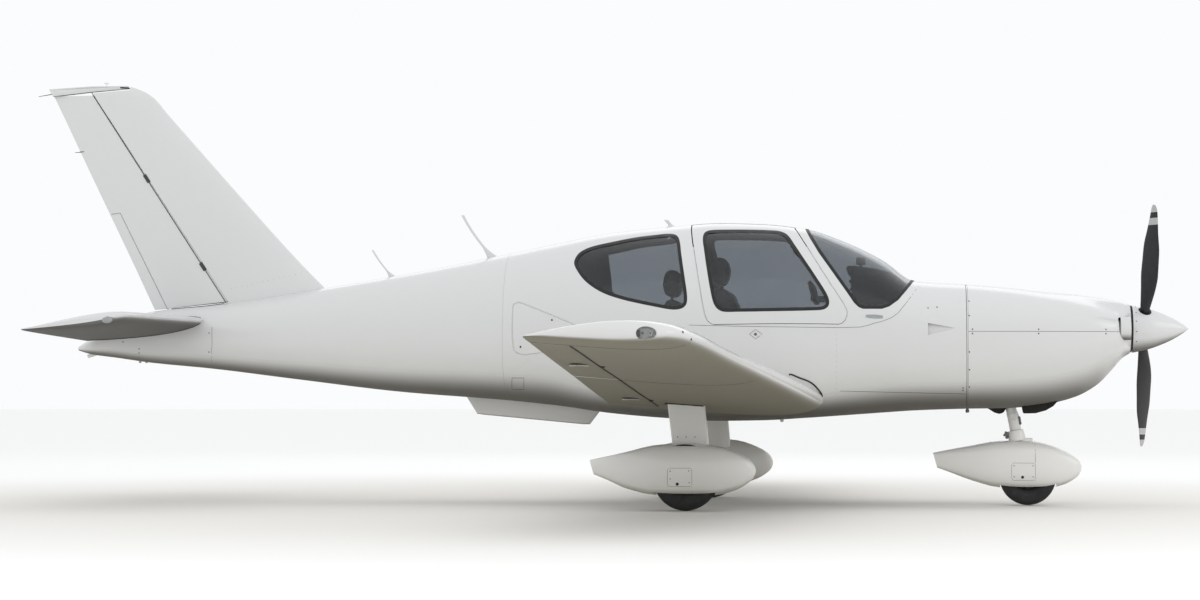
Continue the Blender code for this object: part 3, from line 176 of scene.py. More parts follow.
floor.data.materials.append(make_floor("#E9E7E3", "#F9F9F8", 3.0, 8.5))

# %% [markdown]
# ## White polyurethane paint
# Aircraft are sprayed with a two-part polyurethane enamel: hard, glossy, with a faint orange
# peel whose bumps are one or two millimetres wide. Dust and exhaust make the lower skins
# browner than the top, so the colour mixes slowly with height and with a cloudy noise.
# Surfaces that face the ground take a dark painted shade, which is partly a real film of grime.
# %% White paint
def make_paint(name, clean, dusty, shade_and_grime, roughness=0.22, dust_low=0.55, dust_high=1.25):
    material, shader = new_finish(name, IOR=1.5, Coat_Weight=0.35, Coat_Roughness=0.05, Coat_IOR=1.5)
    place = add_node(material, "ShaderNodeTexCoord")
    split = add_node(material, "ShaderNodeSeparateXYZ", {}, {0: (place, "Object")})
    clouds = noise(material, place, 2.2, 4.0)
    lift = add_node(material, "ShaderNodeMath", {"operation": "MULTIPLY_ADD"}, {
        0: (clouds, "Fac"), 1: 0.30, 2: -0.15})
    height = add_node(material, "ShaderNodeMath", {"operation": "ADD"}, {0: (split, "Z"), 1: (lift, 0)})
    dust = add_node(material, "ShaderNodeMapRange", {}, {
        "Value": (height, 0), "From Min": dust_low, "From Max": dust_high, "To Min": 1.0, "To Max": 0.0})
    specks = noise(material, place, 55.0, 5.0, 0.65)
    speck_mask = add_node(material, "ShaderNodeMapRange", {}, {
        "Value": (specks, "Fac"), "From Min": 0.55, "From Max": 0.85, "To Min": 0.0, "To Max": 0.10})
    share = add_node(material, "ShaderNodeMath", {"operation": "MULTIPLY_ADD", "use_clamp": True}, {
        0: (dust, 0), 1: 0.45, 2: (speck_mask, 0)})
    mix = add_node(material, "ShaderNodeMix", {"data_type": "RGBA"}, {
        "Factor": (share, 0), 6: colour(clean), 7: colour(dusty)})
    # Painted shade: faces that point down turn towards a dark colour, partly real grime.
    facing = add_node(material, "ShaderNodeNewGeometry")
    facing = add_node(material, "ShaderNodeSeparateXYZ", {}, {0: (facing, "Normal")})
    under = add_node(material, "ShaderNodeMapRange", {"interpolation_type": "SMOOTHSTEP"}, {
        "Value": (facing, "Z"), "From Min": -0.40, "From Max": -0.97, "To Min": 0.0, "To Max": 0.88})
    shaded_paint_colour = add_node(material, "ShaderNodeMix", {"data_type": "RGBA"}, {
        "Factor": (under, 0), 6: (mix, 2), 7: colour(shade_and_grime)})
    link(material, shaded_paint_colour, 2, shader, "Base Color")
    veil = add_node(material, "ShaderNodeMapRange", {}, {
        "Value": (under, 0), "From Min": 0.0, "From Max": 0.8, "To Min": 0.35, "To Max": 0.0})
    link(material, veil, 0, shader, "Coat Weight")
    gloss = add_node(material, "ShaderNodeMapRange", {}, {
        "Value": (clouds, "Fac"), "From Min": 0.3, "From Max": 0.7,
        "To Min": roughness - 0.02, "To Max": roughness + 0.03})
    blur = add_node(material, "ShaderNodeMath", {"operation": "MULTIPLY_ADD"}, {0: (under, 0), 1: 0.72, 2: (gloss, 0)})
    link(material, blur, 0, shader, "Roughness")
    peel = noise(material, place, 420.0, 2.0)
    bump = add_node(material, "ShaderNodeBump", {}, {"Strength": 0.025, "Distance": 0.001, "Height": (peel, "Fac")})
    link(material, bump, 0, shader, "Normal")
    return material


# The fuselage's enamel, with a dark painted shade on its belly that is partly real grime.
WHITE_PAINT = make_paint("white_polyurethane_paint", "#D3D4D4", "#CBC8BF", "#454034")
# The same enamel under the wings and tail, with a painted shade on faces that point down,
# partly oil mist and dust that cling and aren't washed off.
WING_PAINT = make_paint("white_paint_with_grimy_underside", "#D3D4D4", "#CBC8BF", "#6A644F")
# The same enamel on the tailplane, with the darkest painted shade on its underside.
TAIL_PAINT = make_paint("white_paint_with_exhaust_trail", "#D3D4D4", "#CBC8BF", "#2C2920")
# A lighter copy of the same enamel for the gear and small fittings: painted light that stands
# in for the light the low parts get from the side, with only a pale painted shade underneath.
GEAR_PAINT = make_paint("white_paint_washed_often", "#E4E4E2", "#DDDBD5", "#B5B1A6")
print("paint", WHITE_PAINT.name)

# %% [markdown]
# ## Grained finishes
# Metal, moulded plastic, rubber and fabric all vary a little from place to place. One recipe
# serves them: two near shades mixed by a fine grain, a roughness that wanders about its
# middle, and a bump of the grain's size.
# %% Grained finishes
def make_grained(name, light, dark, roughness, scale, bump=0.0, depth=0.0005, **sockets):
    material, shader = new_finish(name, **sockets)
    place = add_node(material, "ShaderNodeTexCoord")
    grain = noise(material, place, scale, 4.0, 0.6)
    share = add_node(material, "ShaderNodeMapRange", {}, {
        "Value": (grain, "Fac"), "From Min": 0.3, "From Max": 0.7})
    mix = add_node(material, "ShaderNodeMix", {"data_type": "RGBA"}, {
        "Factor": (share, 0), 6: colour(dark), 7: colour(light)})
    link(material, mix, 2, shader, "Base Color")
    patches = noise(material, place, scale / 12, 3.0)
    gloss = add_node(material, "ShaderNodeMapRange", {}, {
        "Value": (patches, "Fac"), "From Min": 0.3, "From Max": 0.7,
        "To Min": roughness * 0.85, "To Max": min(roughness * 1.15, 1.0)})
    link(material, gloss, 0, shader, "Roughness")
    if bump:
        relief = add_node(material, "ShaderNodeBump", {}, {
            "Strength": bump, "Distance": depth, "Height": (grain, "Fac")})
        link(material, relief, 0, shader, "Normal")
    return material


# Carbon-black tyre compound, moulded: nearly black, dull, with dust in its pores.
TYRE = make_grained("moulded_tyre_rubber", "#2A2A2A", "#161616", 0.78, 300.0, 0.35, 0.0006)
# Cast and machined wheel alloy: pale grey with a satin turned face.
ALLOY = make_grained("machined_wheel_alloy", "#B4B6B8", "#8E9194", 0.34, 160.0, 0.10, 0.0002, Metallic=1.0)
# Cadmium-plated steel fittings: darker than alloy and a little patchy.
STEEL = make_grained("plated_steel", "#7D7B77", "#5B5955", 0.38, 120.0, 0.10, 0.0002, Metallic=1.0)
# Sand-cast crankcase alloy with its rough skin left on.
CASTING = make_grained("sand_cast_alloy", "#5C5D5E", "#3D3E3F", 0.62, 260.0, 0.5, 0.001, Metallic=0.7)
# Sooty steel of the exhaust outlet.
SOOT = make_grained("sooted_steel", "#242220", "#0E0D0C", 0.72, 90.0, 0.25, 0.0006, Metallic=0.3)
# Clear anodised sheet of the firewall, dulled by heat. Its dark edge between cowling and cabin
# is also a painted shade line.
SHEET = make_grained("anodised_sheet", "#5A5B5C", "#3C3D3E", 0.45, 60.0, 0.05, 0.0002, Metallic=1.0)
# Foam-backed vinyl of the cabin lining: charcoal, dull, with a fine pressed grain.
LINING = make_grained("pressed_vinyl_lining", "#232529", "#1A1C1E", 0.68, 420.0, 0.25, 0.0004)
# Nylon loop carpet of the floor.
CARPET = make_grained("nylon_loop_carpet", "#33343A", "#1D1E22", 0.95, 260.0, 0.8, 0.002)
# Grained black cowhide: soft sheen, with a crease every few millimetres.
LEATHER = make_grained("grained_black_leather", "#1D1D20", "#101012", 0.40, 330.0, 0.45, 0.0008)
# Moulded nylon of switches, knobs and seat shells.
PLASTIC = make_grained("moulded_black_nylon", "#202124", "#151618", 0.50, 380.0, 0.2, 0.0003)
# Small screw heads and rivets: plated steel gone dull, with dirt in the slots.
SCREW = make_grained("dull_screw_heads", "#4A4843", "#33312D", 0.50, 300.0, Metallic=1.0)
# The dark of a panel gap or a screw recess: old grease and shadow.
GAP_DARK = make_grained("greasy_panel_gap", "#2B2A28", "#171614", 0.70, 200.0)
print("grained finishes ready")

# %% [markdown]
# ## The fuselage as a table of sections
# A fuselage skin is riveted over frames, and each frame is a rounded box. A superellipse
# draws such a box with a height, a width and two roundness numbers. Between the frames the
# numbers run on smooth curves that never overshoot, so the skin has no ripples.
# %% Fuselage sections
# station, top z, bottom z, half width, widest z, roundness above, roundness below,
# hump height, hump half width
FUSELAGE = (
    (0.385, 1.328, 1.003, 0.165, 1.165, 2.0, 2.0, 0.000, 0.16),
    (0.430, 1.343, 0.975, 0.270, 1.160, 2.2, 2.1, 0.050, 0.16),
    (0.500, 1.356, 0.897, 0.350, 1.150, 2.6, 2.2, 0.085, 0.18),
    (0.600, 1.374, 0.795, 0.405, 1.135, 2.8, 2.3, 0.065, 0.20),
    (0.750, 1.396, 0.713, 0.450, 1.120, 2.9, 2.5, 0.040, 0.24),
    (0.950, 1.415, 0.664, 0.490, 1.110, 2.9, 2.7, 0.022, 0.28),
    (1.200, 1.442, 0.641, 0.525, 1.100, 2.9, 2.9, 0.008, 0.32),
    (1.453, 1.462, 0.637, 0.555, 1.090, 2.9, 3.1, 0.000, 0.32),
    (1.790, 1.486, 0.626, 0.588, 1.090, 2.8, 3.2, 0.000, 0.32),
    (2.000, 1.627, 0.612, 0.605, 1.095, 2.6, 3.3, 0.000, 0.32),
    (2.250, 1.751, 0.594, 0.622, 1.100, 2.5, 3.8, 0.000, 0.32),
    (2.500, 1.838, 0.577, 0.634, 1.105, 2.4, 4.4, 0.000, 0.32),
    (2.800, 1.876, 0.560, 0.640, 1.110, 2.4, 4.6, 0.000, 0.32),
    (3.100, 1.885, 0.556, 0.640, 1.110, 2.4, 4.6, 0.000, 0.32),
    (3.400, 1.863, 0.572, 0.633, 1.110, 2.4, 4.5, 0.000, 0.32),
    (3.800, 1.824, 0.605, 0.602, 1.110, 2.4, 3.8, 0.000, 0.32),
    (4.200, 1.751, 0.660, 0.548, 1.105, 2.4, 2.8, 0.000, 0.32),
    (4.500, 1.690, 0.691, 0.495, 1.105, 2.4, 2.7, 0.000, 0.32),
    (5.250, 1.549, 0.749, 0.370, 1.110, 2.4, 2.5, 0.000, 0.32),
    (6.000, 1.428, 0.838, 0.262, 1.125, 2.4, 2.4, 0.000, 0.32),
    (6.600, 1.344, 0.912, 0.192, 1.135, 2.6, 2.4, 0.000, 0.32),
    (7.000, 1.304, 0.950, 0.160, 1.130, 2.8, 2.5, 0.000, 0.32),
    (7.250, 1.215, 0.985, 0.138, 1.110, 2.6, 2.5, 0.000, 0.32),
    (7.440, 1.115, 1.011, 0.100, 1.065, 2.4, 2.4, 0.000, 0.32),
    (7.520, 1.066, 1.034, 0.045, 1.050, 2.2, 2.2, 0.000, 0.32),
)
SKIN_COLUMNS = 96


def monotone(table, station):
    """Row of a table at a station, on cubic curves that never overshoot its rows."""
    rows = np.asarray(table, dtype=float)
    xs = rows[:, 0]
    station = min(max(station, xs[0]), xs[-1])
    k = min(int(np.searchsorted(xs, station, side="right")) - 1, len(xs) - 2)
    widths = np.diff(xs)
    slopes = np.diff(rows, axis=0) / widths[:, None]

    def tangent(i):
        if i == 0:
            return slopes[0]
        if i == len(xs) - 1:
            return slopes[-1]
        before, after = slopes[i - 1], slopes[i]
        near, far = 2 * widths[i] + widths[i - 1], widths[i] + 2 * widths[i - 1]
        same_way = before * after > 0
        safe_before = np.where(same_way, before, 1.0)
        safe_after = np.where(same_way, after, 1.0)
        return np.where(same_way, (near + far) / (near / safe_before + far / safe_after), 0.0)

    h = widths[k]
    t = (station - xs[k]) / h
    start = (1 + 2 * t) * (1 - t) ** 2
    return (start * rows[k] + (1 - start) * rows[k + 1]
            + h * t * (1 - t) ** 2 * tangent(k) - h * t * t * (1 - t) * tangent(k + 1))


def fuselage_ring(station, inset=0.0, columns=SKIN_COLUMNS, floor_z=None):
    """Points once round the fuselage, from the top over the left side. The last is the first."""
    _, top, bottom, half, widest, above, below, hump, hump_half = monotone(FUSELAGE, station)
    flat = []
    for i in range(columns):
        angle = 2 * math.pi * i / columns
        up, side = math.cos(angle), math.sin(angle)
        power = 2 / (above if up >= 0 else below)
        height = (top - hump - widest) if up >= 0 else (widest - bottom)
        y = half * math.copysign(abs(side) ** power, side)
        z = widest + height * math.copysign(abs(up) ** power, up)
        if up > 0 and hump:
            z += hump * math.exp(-(y / hump_half) ** 2 * 1.6)
        flat.append((y, z))
    ring = []
    for i, (y, z) in enumerate(flat):
        if inset:
            after, before = flat[(i + 1) % columns], flat[i - 1]
            normal = Vector((after[1] - before[1], before[0] - after[0])).normalized()
            y, z = y + normal.x * inset, z + normal.y * inset
        if floor_z is not None:
            z = max(z, floor_z)
        ring.append(at(station, y, z))
    return ring + ring[:1]


def skin_y(station, z):
    _, top, bottom, half, widest, above, below, hump, _ = monotone(FUSELAGE, station)
    height = (top - hump - widest) if z >= widest else (widest - bottom)
    power = above if z >= widest else below
    return half * (1 - min(abs(z - widest) / height, 1.0) ** power) ** (1 / power)


def skin_z(station, y):
    _, top, _, half, widest, above, _, hump, hump_half = monotone(FUSELAGE, station)
    share = min(abs(y) / half, 1.0)
    return (widest + (top - hump - widest) * (1 - share ** above) ** (1 / above)
            + hump * math.exp(-(y / hump_half) ** 2 * 1.6))


def skin_low(station, y):
    """Height of the belly at y."""
    _, _, bottom, half, widest, _, below, _, _ = monotone(FUSELAGE, station)
    share = min(abs(y) / half, 1.0)
    return widest - (widest - bottom) * (1 - share ** below) ** (1 / below)


def spaced(start, end, step):
    return list(np.linspace(start, end, max(2, int(round((end - start) / step)) + 1)))


print("half width at the door", round(skin_y(2.8, 1.11), 3))

# %% [markdown]
# ## A sheet wrapped round its sections
# A lofted skin starts as a flat grid primitive. Each of its rows is laid along one ring, its
# two long edges meet and are merged, and open ends can be filled. The same helper makes the
# wings, the spats and the blades.
# %% Loft, cut and keep
def edit(piece):
    bpy.ops.object.select_all(action="DESELECT")
    piece.select_set(True)
    bpy.context.view_layer.objects.active = piece
    bpy.ops.object.mode_set(mode="EDIT")
    bpy.ops.mesh.select_mode(type="VERT")
    bpy.ops.mesh.select_all(action="SELECT")


def object_mode():
    bpy.ops.object.mode_set(mode="OBJECT")


def apply_all(piece):
    bpy.ops.object.select_all(action="DESELECT")
    piece.select_set(True)
    bpy.context.view_layer.objects.active = piece
    for modifier in list(piece.modifiers):
        bpy.ops.object.modifier_apply(modifier=modifier.name)


def loft(name, rings, closed_ends=False):
    bpy.ops.object.select_all(action="DESELECT")
    columns, rows = len(rings[0]) - 1, len(rings) - 1
    bpy.ops.mesh.primitive_grid_add(x_subdivisions=columns, y_subdivisions=rows, size=1)
    piece = bpy.context.object
    piece.name = piece.data.name = name
    flat = np.array([v.co for v in piece.data.vertices])
    column = np.rint((flat[:, 0] + 0.5) * columns).astype(int)
    row = np.rint((flat[:, 1] + 0.5) * rows).astype(int)
    places = np.array([[tuple(p) for p in ring] for ring in rings])
    piece.data.vertices.foreach_set("co", places[row, column].astype(np.float32).ravel())
    piece.data.update()
    edit(piece)
    bpy.ops.mesh.remove_doubles(threshold=0.00002)
    if closed_ends:
        bpy.ops.mesh.select_all(action="DESELECT")
        bpy.ops.mesh.select_mode(type="EDGE")
        bpy.ops.mesh.select_non_manifold()
        bpy.ops.mesh.fill_holes(sides=0)
        bpy.ops.mesh.select_all(action="SELECT")
    bpy.ops.mesh.normals_make_consistent(inside=False)
    object_mode()
    return piece


def prism(name, outline, y_low, y_high):
    """A side outline of station and z, filled and extruded across the aircraft."""
    bpy.ops.object.select_all(action="DESELECT")
    bpy.ops.mesh.primitive_circle_add(vertices=len(outline), fill_type="NGON")
    piece = bpy.context.object
    piece.name = piece.data.name = name
    for vertex, (station, z) in zip(piece.data.vertices, outline):
        vertex.co = at(station, y_low, z)
    edit(piece)
    bpy.ops.mesh.extrude_region_move(TRANSFORM_OT_translate={"value": (0, y_high - y_low, 0)})
    bpy.ops.mesh.select_all(action="SELECT")
    bpy.ops.mesh.normals_make_consistent(inside=False)
    object_mode()
    return piece


def thicken(piece, wall):
    """A wall inside a skin that faces outwards."""
    modifier = piece.modifiers.new("wall", "SOLIDIFY")
    modifier.thickness = wall
    modifier.offset = -1
    modifier.use_even_offset = True
    apply_all(piece)
    return piece


def combine(piece, cutter, operation="DIFFERENCE", keep=False):
    modifier = piece.modifiers.new("cut", "BOOLEAN")
    modifier.operation = operation
    modifier.solver = "EXACT"
    modifier.object = cutter
    apply_all(piece)
    if not keep:
        bpy.data.objects.remove(cutter, do_unlink=True)
    return piece


def dress(piece, finish, body, *nodes, angle=32):
    """Gives a piece its finish and smooth shading, and lets it ride on its body."""
    piece.data.materials.clear()
    piece.data.materials.append(finish)
    piece.data.polygons.foreach_set("material_index", [0] * len(piece.data.polygons))
    bpy.ops.object.select_all(action="DESELECT")
    piece.select_set(True)
    bpy.context.view_layer.objects.active = piece
    bpy.ops.object.shade_smooth_by_angle(angle=math.radians(angle))
    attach(piece, body)
    if nodes:
        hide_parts(*nodes)
    return piece


def grown(outline, distance):
    points = [Vector(p) for p in outline]
    count = len(points)
    area = sum(points[i - 1].x * points[i].y - points[i].x * points[i - 1].y for i in range(count))
    turn = 1.0 if area > 0 else -1.0
    moved = []
    for i in range(count):
        before = (points[i] - points[i - 1]).normalized()
        after = (points[(i + 1) % count] - points[i]).normalized()
        out = (Vector((before.y + after.y, -(before.x + after.x))) * turn).normalized()
        share = max(out.dot(Vector((before.y, -before.x)) * turn), 0.5)
        moved.append(tuple(points[i] + out * (distance / share)))
    return moved


def rounded(outline, steps=4):
    """A smooth closed curve through the points of an outline."""
    points = [Vector(p) for p in outline]
    finer = []
    for i in range(len(points)):
        before, start, end, after = (points[(i + k) % len(points)] for k in (-1, 0, 1, 2))
        span = (end - start).length
        leave = (end - before) * (span / max((end - start).length + (start - before).length, 1e-6))
        arrive = (after - start) * (span / max((end - start).length + (after - end).length, 1e-6))
        for k in range(steps):
            t = k / steps
            finer.append(tuple(
                start * (2 * t ** 3 - 3 * t ** 2 + 1) + end * (3 * t ** 2 - 2 * t ** 3)
                + leave * (t ** 3 - 2 * t ** 2 + t) + arrive * (t ** 3 - t ** 2)))
    return finer


print("helpers ready")

# %% [markdown]
# ## Doors that swing like wings
# Each cabin door hangs from two hinges near the middle of the roof and opens upwards. Its
# edges can't be cut straight through the wall, or they would jam, so the cut follows the
# arc that each point of the edge makes about the hinge line. The same shape, a little
# smaller, is the door.
# %% Outlines in the side view
DOOR_FRONT_EDGE = (
    (2.290, 1.183), (2.262, 1.193), (2.240, 1.214), (2.228, 1.246), (2.237, 1.289), (2.262, 1.332),
    (2.376, 1.507), (2.474, 1.665), (2.546, 1.780), (2.579, 1.830), (2.620, 1.900),
)
DOOR_AFT_EDGE = (
    (3.085, 1.183), (3.112, 1.190), (3.136, 1.210), (3.152, 1.249), (3.165, 1.306), (3.186, 1.422),
    (3.215, 1.578), (3.242, 1.719), (3.260, 1.804), (3.275, 1.900),
)
DOOR_BOTTOM_Z = 1.183
DOOR_HINGE_Y = 0.17
DOOR_HINGE_STATIONS = (2.72, 3.12)
PANEL_GAP = 0.007
WALL = 0.035
DOOR_WINDOW = (
    (3.180, 1.757), (3.172, 1.800), (3.138, 1.818), (3.042, 1.822), (2.867, 1.821), (2.712, 1.815),
    (2.663, 1.805), (2.622, 1.779), (2.571, 1.706), (2.414, 1.468), (2.366, 1.390), (2.347, 1.342),
    (2.351, 1.304), (2.378, 1.282), (2.432, 1.275), (2.755, 1.269), (2.945, 1.267), (3.031, 1.268),
    (3.070, 1.287), (3.095, 1.325), (3.115, 1.402), (3.141, 1.539), (3.166, 1.678),
)
QUARTER_WINDOW = (
    (4.030, 1.600), (4.013, 1.657), (3.975, 1.690), (3.915, 1.715), (3.800, 1.741), (3.640, 1.773),
    (3.490, 1.791), (3.402, 1.797), (3.355, 1.782), (3.332, 1.741), (3.316, 1.659), (3.277, 1.442),
    (3.267, 1.365), (3.271, 1.322), (3.290, 1.297), (3.328, 1.284), (3.377, 1.284), (3.464, 1.300),
    (3.580, 1.324), (3.690, 1.350), (3.796, 1.384), (3.876, 1.424), (3.947, 1.477), (3.996, 1.535),
)
WINDSCREEN = (
    (1.790, 1.500), (1.797, 1.480), (1.845, 1.412), (1.902, 1.342), (1.959, 1.300), (2.006, 1.284),
    (2.129, 1.284), (2.158, 1.296), (2.186, 1.323), (2.224, 1.380), (2.319, 1.516), (2.417, 1.656),
    (2.478, 1.759), (2.512, 1.823), (2.535, 1.900), (1.790, 1.900),
)
BAGGAGE_DOOR = (
    (4.430, 1.302), (4.418, 1.330), (4.377, 1.337), (3.800, 1.097), (3.770, 1.060), (3.800, 1.022),
    (4.243, 1.002), (4.376, 0.994), (4.423, 1.037),
)


def edge_station(edge, z):
    return float(np.interp(z, [p[1] for p in edge], [p[0] for p in edge]))


def door_block(side, grow):
    """The space of a door through the wall, grow larger than the middle of its gap."""
    start, end = [at(s, side * DOOR_HINGE_Y, skin_z(s, DOOR_HINGE_Y) + 0.006) for s in DOOR_HINGE_STATIONS]
    axis = (end - start).normalized()
    inner_y = DOOR_HINGE_Y + 0.0065 - grow - PANEL_GAP / 2 if grow < 0 else DOOR_HINGE_Y - 0.0065
    levels = [("y", y) for y in (inner_y, 0.24, 0.28, 0.32)]
    levels += [("z", z) for z in (1.765, 1.73, 1.68, 1.60, 1.50, 1.40, 1.32, 1.28, 1.25, 1.225, 1.21, 1.20, 1.193)]
    levels.append(("z", DOOR_BOTTOM_Z - grow))
    rings = []
    for kind, value in levels:
        outer, inner = [], []
        for edge, sign in ((DOOR_FRONT_EDGE, -1), (DOOR_AFT_EDGE, 1)):
            station = edge[3][0]
            for _ in range(4):
                y, z = (value, skin_z(station, value)) if kind == "y" else (skin_y(station, value), value)
                station = edge_station(edge, z)
            skin = at(station + sign * grow, side * y, z)
            spoke = skin - start
            spoke -= axis * spoke.dot(axis)
            swing = spoke.normalized().cross(axis)
            if swing.z + swing.y * side < 0:
                swing.negate()
            if kind == "y" and value < 0.2:
                swing = Vector((0, 0, 1))
            outer.append(skin + swing * 0.07)
            inner.append(skin - swing * 0.09)
        ring = [outer[0], outer[1], inner[1], inner[0]]
        rings.append(ring + ring[:1])
    return loft("door_space", rings, closed_ends=True)


# %% [markdown]
# ## The cabin skin
# The wall of the cabin is one sheet with a padded lining, here a wall of 35 mm. Doors,
# windows, windscreen and the baggage hatch are cut through it.
# %% Cabin skin
CABIN = spaced(1.4653, 1.79, 0.05)[:-1] + spaced(1.79, 2.60, 0.035)[:-1] + spaced(2.60, 4.4997, 0.06)
SIDES = ((1, "left"), (-1, "right"))


def skin(name, stations, inset=0.0, wall=WALL):
    return thicken(loft(name, [fuselage_ring(s, inset) for s in stations]), wall)


def side_range(side, near=0.2, far=0.95):
    return sorted((side * near, side * far))


cabin = skin("cabin_skin", CABIN)
combine(cabin, prism("cutter", WINDSCREEN, -0.95, 0.95))
for side, word in SIDES:
    combine(cabin, prism("cutter", rounded(QUARTER_WINDOW), *side_range(side)))
    combine(cabin, door_block(side, PANEL_GAP / 2))
combine(cabin, prism("cutter", rounded(grown(BAGGAGE_DOOR, PANEL_GAP / 2)), -0.95, -0.2))
dress(cabin, WHITE_PAINT, "airframe", "cabin_shell")


def line_inside(piece, finish, depth=0.008):
    """The lining's finish on every face that lies deeper than the paint, jambs included."""
    piece.data.materials.append(finish)
    for face in piece.data.polygons:
        station, y, z = 3.875 - face.center.x, face.center.y, face.center.z
        beside = skin_y(station, z) - abs(y)
        above = skin_z(station, y) - z if z > 1.2 else depth + 1
        under = z - skin_low(station, y) if z < 1.0 else depth + 1
        if min(beside, above, under) > depth:
            face.material_index = 1
    print(piece.name, "lined faces", sum(face.material_index for face in piece.data.polygons))


line_inside(cabin, LINING)
for side, word in SIDES:
    trim = skin(f"window_trim_{word}", spaced(3.80, 4.20, 0.04), WALL - 0.004, 0.006)
    trim_outline = ((3.905, 1.25), (3.880, 1.36), (3.885, 1.62), (3.905, 1.74), (4.120, 1.72), (4.120, 1.25))
    combine(trim, prism("cutter", rounded(trim_outline), *side_range(side)), "INTERSECT")
    dress(trim, LINING, "airframe")
print("cabin skin faces", len(cabin.data.polygons))

# %% [markdown]
# ## Smoked acrylic
# Touring aircraft have tinted acrylic windows: you see the far windows through them, grey and
# dim, and a sharp reflection of the sky on top. Acrylic bends light less than glass, with an
# index of 1.49. The sheet is cast, so its tint wanders a little from place to place.
# %% Windows and seals
def make_smoked(name, tint, paler):
    material, shader = new_finish(name, Roughness=0.0, IOR=1.49, Specular_IOR_Level=0.25, Transmission_Weight=1.0)
    place = add_node(material, "ShaderNodeTexCoord")
    clouds = noise(material, place, 2.5, 2.0)
    mix = add_node(material, "ShaderNodeMix", {"data_type": "RGBA"}, {
        "Factor": (clouds, "Fac"), 6: colour(tint), 7: colour(paler)})
    link(material, mix, 2, shader, "Base Color")
    return material


SMOKED_ACRYLIC = make_smoked("smoked_acrylic", "#9CA2A8", "#A5AAAF")
# The same sheet without a tint, over the lamps in the wing tips.
CLEAR_ACRYLIC = make_smoked("clear_acrylic", "#EDEFF0", "#F6F7F7")
# Extruded rubber of the window seals: black, slightly glossy from handling.
RUBBER = make_grained("extruded_black_rubber", "#1C1C1D", "#0F0F10", 0.52, 220.0, 0.1, 0.0002)
GLASS_INSET = 0.002
GLASS = 0.006


def pane(name, stations, outline, side, seal_width):
    """A pane in the skin and the rubber seal round its edge, from one smooth outline."""
    span = side_range(side) if side else (-0.95, 0.95)
    glass = skin(name, stations, GLASS_INSET, GLASS)
    combine(glass, prism("cutter", grown(outline, -seal_width), *span), "INTERSECT")
    seal = skin(name + "_seal", stations, GLASS_INSET - 0.0025, GLASS + 0.004)
    combine(seal, prism("cutter", grown(outline, -0.0005), *span), "INTERSECT")
    combine(seal, prism("cutter", grown(outline, -seal_width - 0.0003), *span))
    return glass, seal


screen, screen_seal = pane("windscreen_pane", spaced(1.74, 2.60, 0.035), WINDSCREEN, 0, 0.020)
dress(screen, SMOKED_ACRYLIC, "airframe", "windscreen")
dress(screen_seal, RUBBER, "airframe")
for side, word in SIDES:
    window, seal = pane(f"quarter_pane_{word}", spaced(3.22, 4.05, 0.04), rounded(QUARTER_WINDOW), side, 0.022)
    dress(window, SMOKED_ACRYLIC, "airframe", f"quarter_window_{word}")
    dress(seal, RUBBER, "airframe")
    door = skin(f"door_skin_{word}", spaced(2.15, 3.30, 0.045))
    combine(door, door_block(side, -PANEL_GAP / 2), "INTERSECT")
    combine(door, prism("cutter", rounded(DOOR_WINDOW), *side_range(side)))
    dress(door, WHITE_PAINT, f"door_{word}", f"door_{word}")
    line_inside(door, LINING)
    window, seal = pane(f"door_pane_{word}", spaced(2.25, 3.25, 0.045), rounded(DOOR_WINDOW), side, 0.022)
    dress(window, SMOKED_ACRYLIC, f"door_{word}", f"door_glass_{word}")
    dress(seal, RUBBER, f"door_{word}")
    print("door", word, len(door.data.polygons), "pane", len(window.data.polygons))

hatch = skin("baggage_hatch", spaced(3.70, 4.498, 0.06), 0.0, 0.012)
combine(hatch, prism("cutter", rounded(grown(BAGGAGE_DOOR, -PANEL_GAP / 2)), -0.95, -0.2), "INTERSECT")
dress(hatch, WHITE_PAINT, "baggage_door", "baggage_door")

# %% [markdown]
# ## Tail cone and bulkhead
# Behind the cabin the skin tapers to the tail. It is closed at its very end, under the
# rudder.
# %% Tail cone
TAIL = spaced(4.5005, 7.0, 0.12)[:-1] + spaced(7.0, 7.52, 0.035)
tail = loft("tail_cone_skin", [fuselage_ring(s) for s in TAIL], closed_ends=True)
dress(tail, WHITE_PAINT, "airframe", "tail_cone", "rear_bulkhead")

# %% [markdown]
# ## Cowlings
# The cowling is two mouldings that meet on a level line, with a cooling intake on each side
# of the spinner.
# %% Cowlings
COWL = (spaced(0.385, 0.50, 0.012)[:-1] + spaced(0.50, 0.80, 0.03)[:-1] + spaced(0.80, 1.453, 0.06))
COWL_SPLIT_Z = 1.138
INTAKE_Y = 0.255
for name, low_z, high_z in (("cowl_upper", COWL_SPLIT_Z + 0.0012, 1.8), ("cowl_lower", 0.3, COWL_SPLIT_Z - 0.0012)):
    cowl = skin(name + "_skin", COWL, 0.0, 0.018)
    box_outline = ((0.2, low_z), (1.7, low_z), (1.7, high_z), (0.2, high_z))
    combine(cowl, prism("cutter", box_outline, -1, 1), "INTERSECT")
    for side, word in SIDES:
        bpy.ops.object.select_all(action="DESELECT")
        bpy.ops.mesh.primitive_cylinder_add(
            vertices=64, radius=0.075, depth=0.4, location=at(0.55, side * INTAKE_Y, COWL_SPLIT_Z + 0.022),
            rotation=(0, math.pi / 2, 0))
        combine(cowl, bpy.context.object)
    if name == "cowl_lower":
        foot, head = at(1.060, 0, 0.117), at(1.203, 0, 0.850)
        bpy.ops.object.select_all(action="DESELECT")
        bpy.ops.mesh.primitive_cylinder_add(vertices=48, radius=0.046, depth=0.4, location=foot.lerp(head, 0.75))
        bpy.context.object.rotation_euler = (head - foot).to_track_quat("Z", "Y").to_euler()
        combine(cowl, bpy.context.object)
    dress(cowl, WHITE_PAINT, "airframe", name)
    print(name, len(cowl.data.polygons))

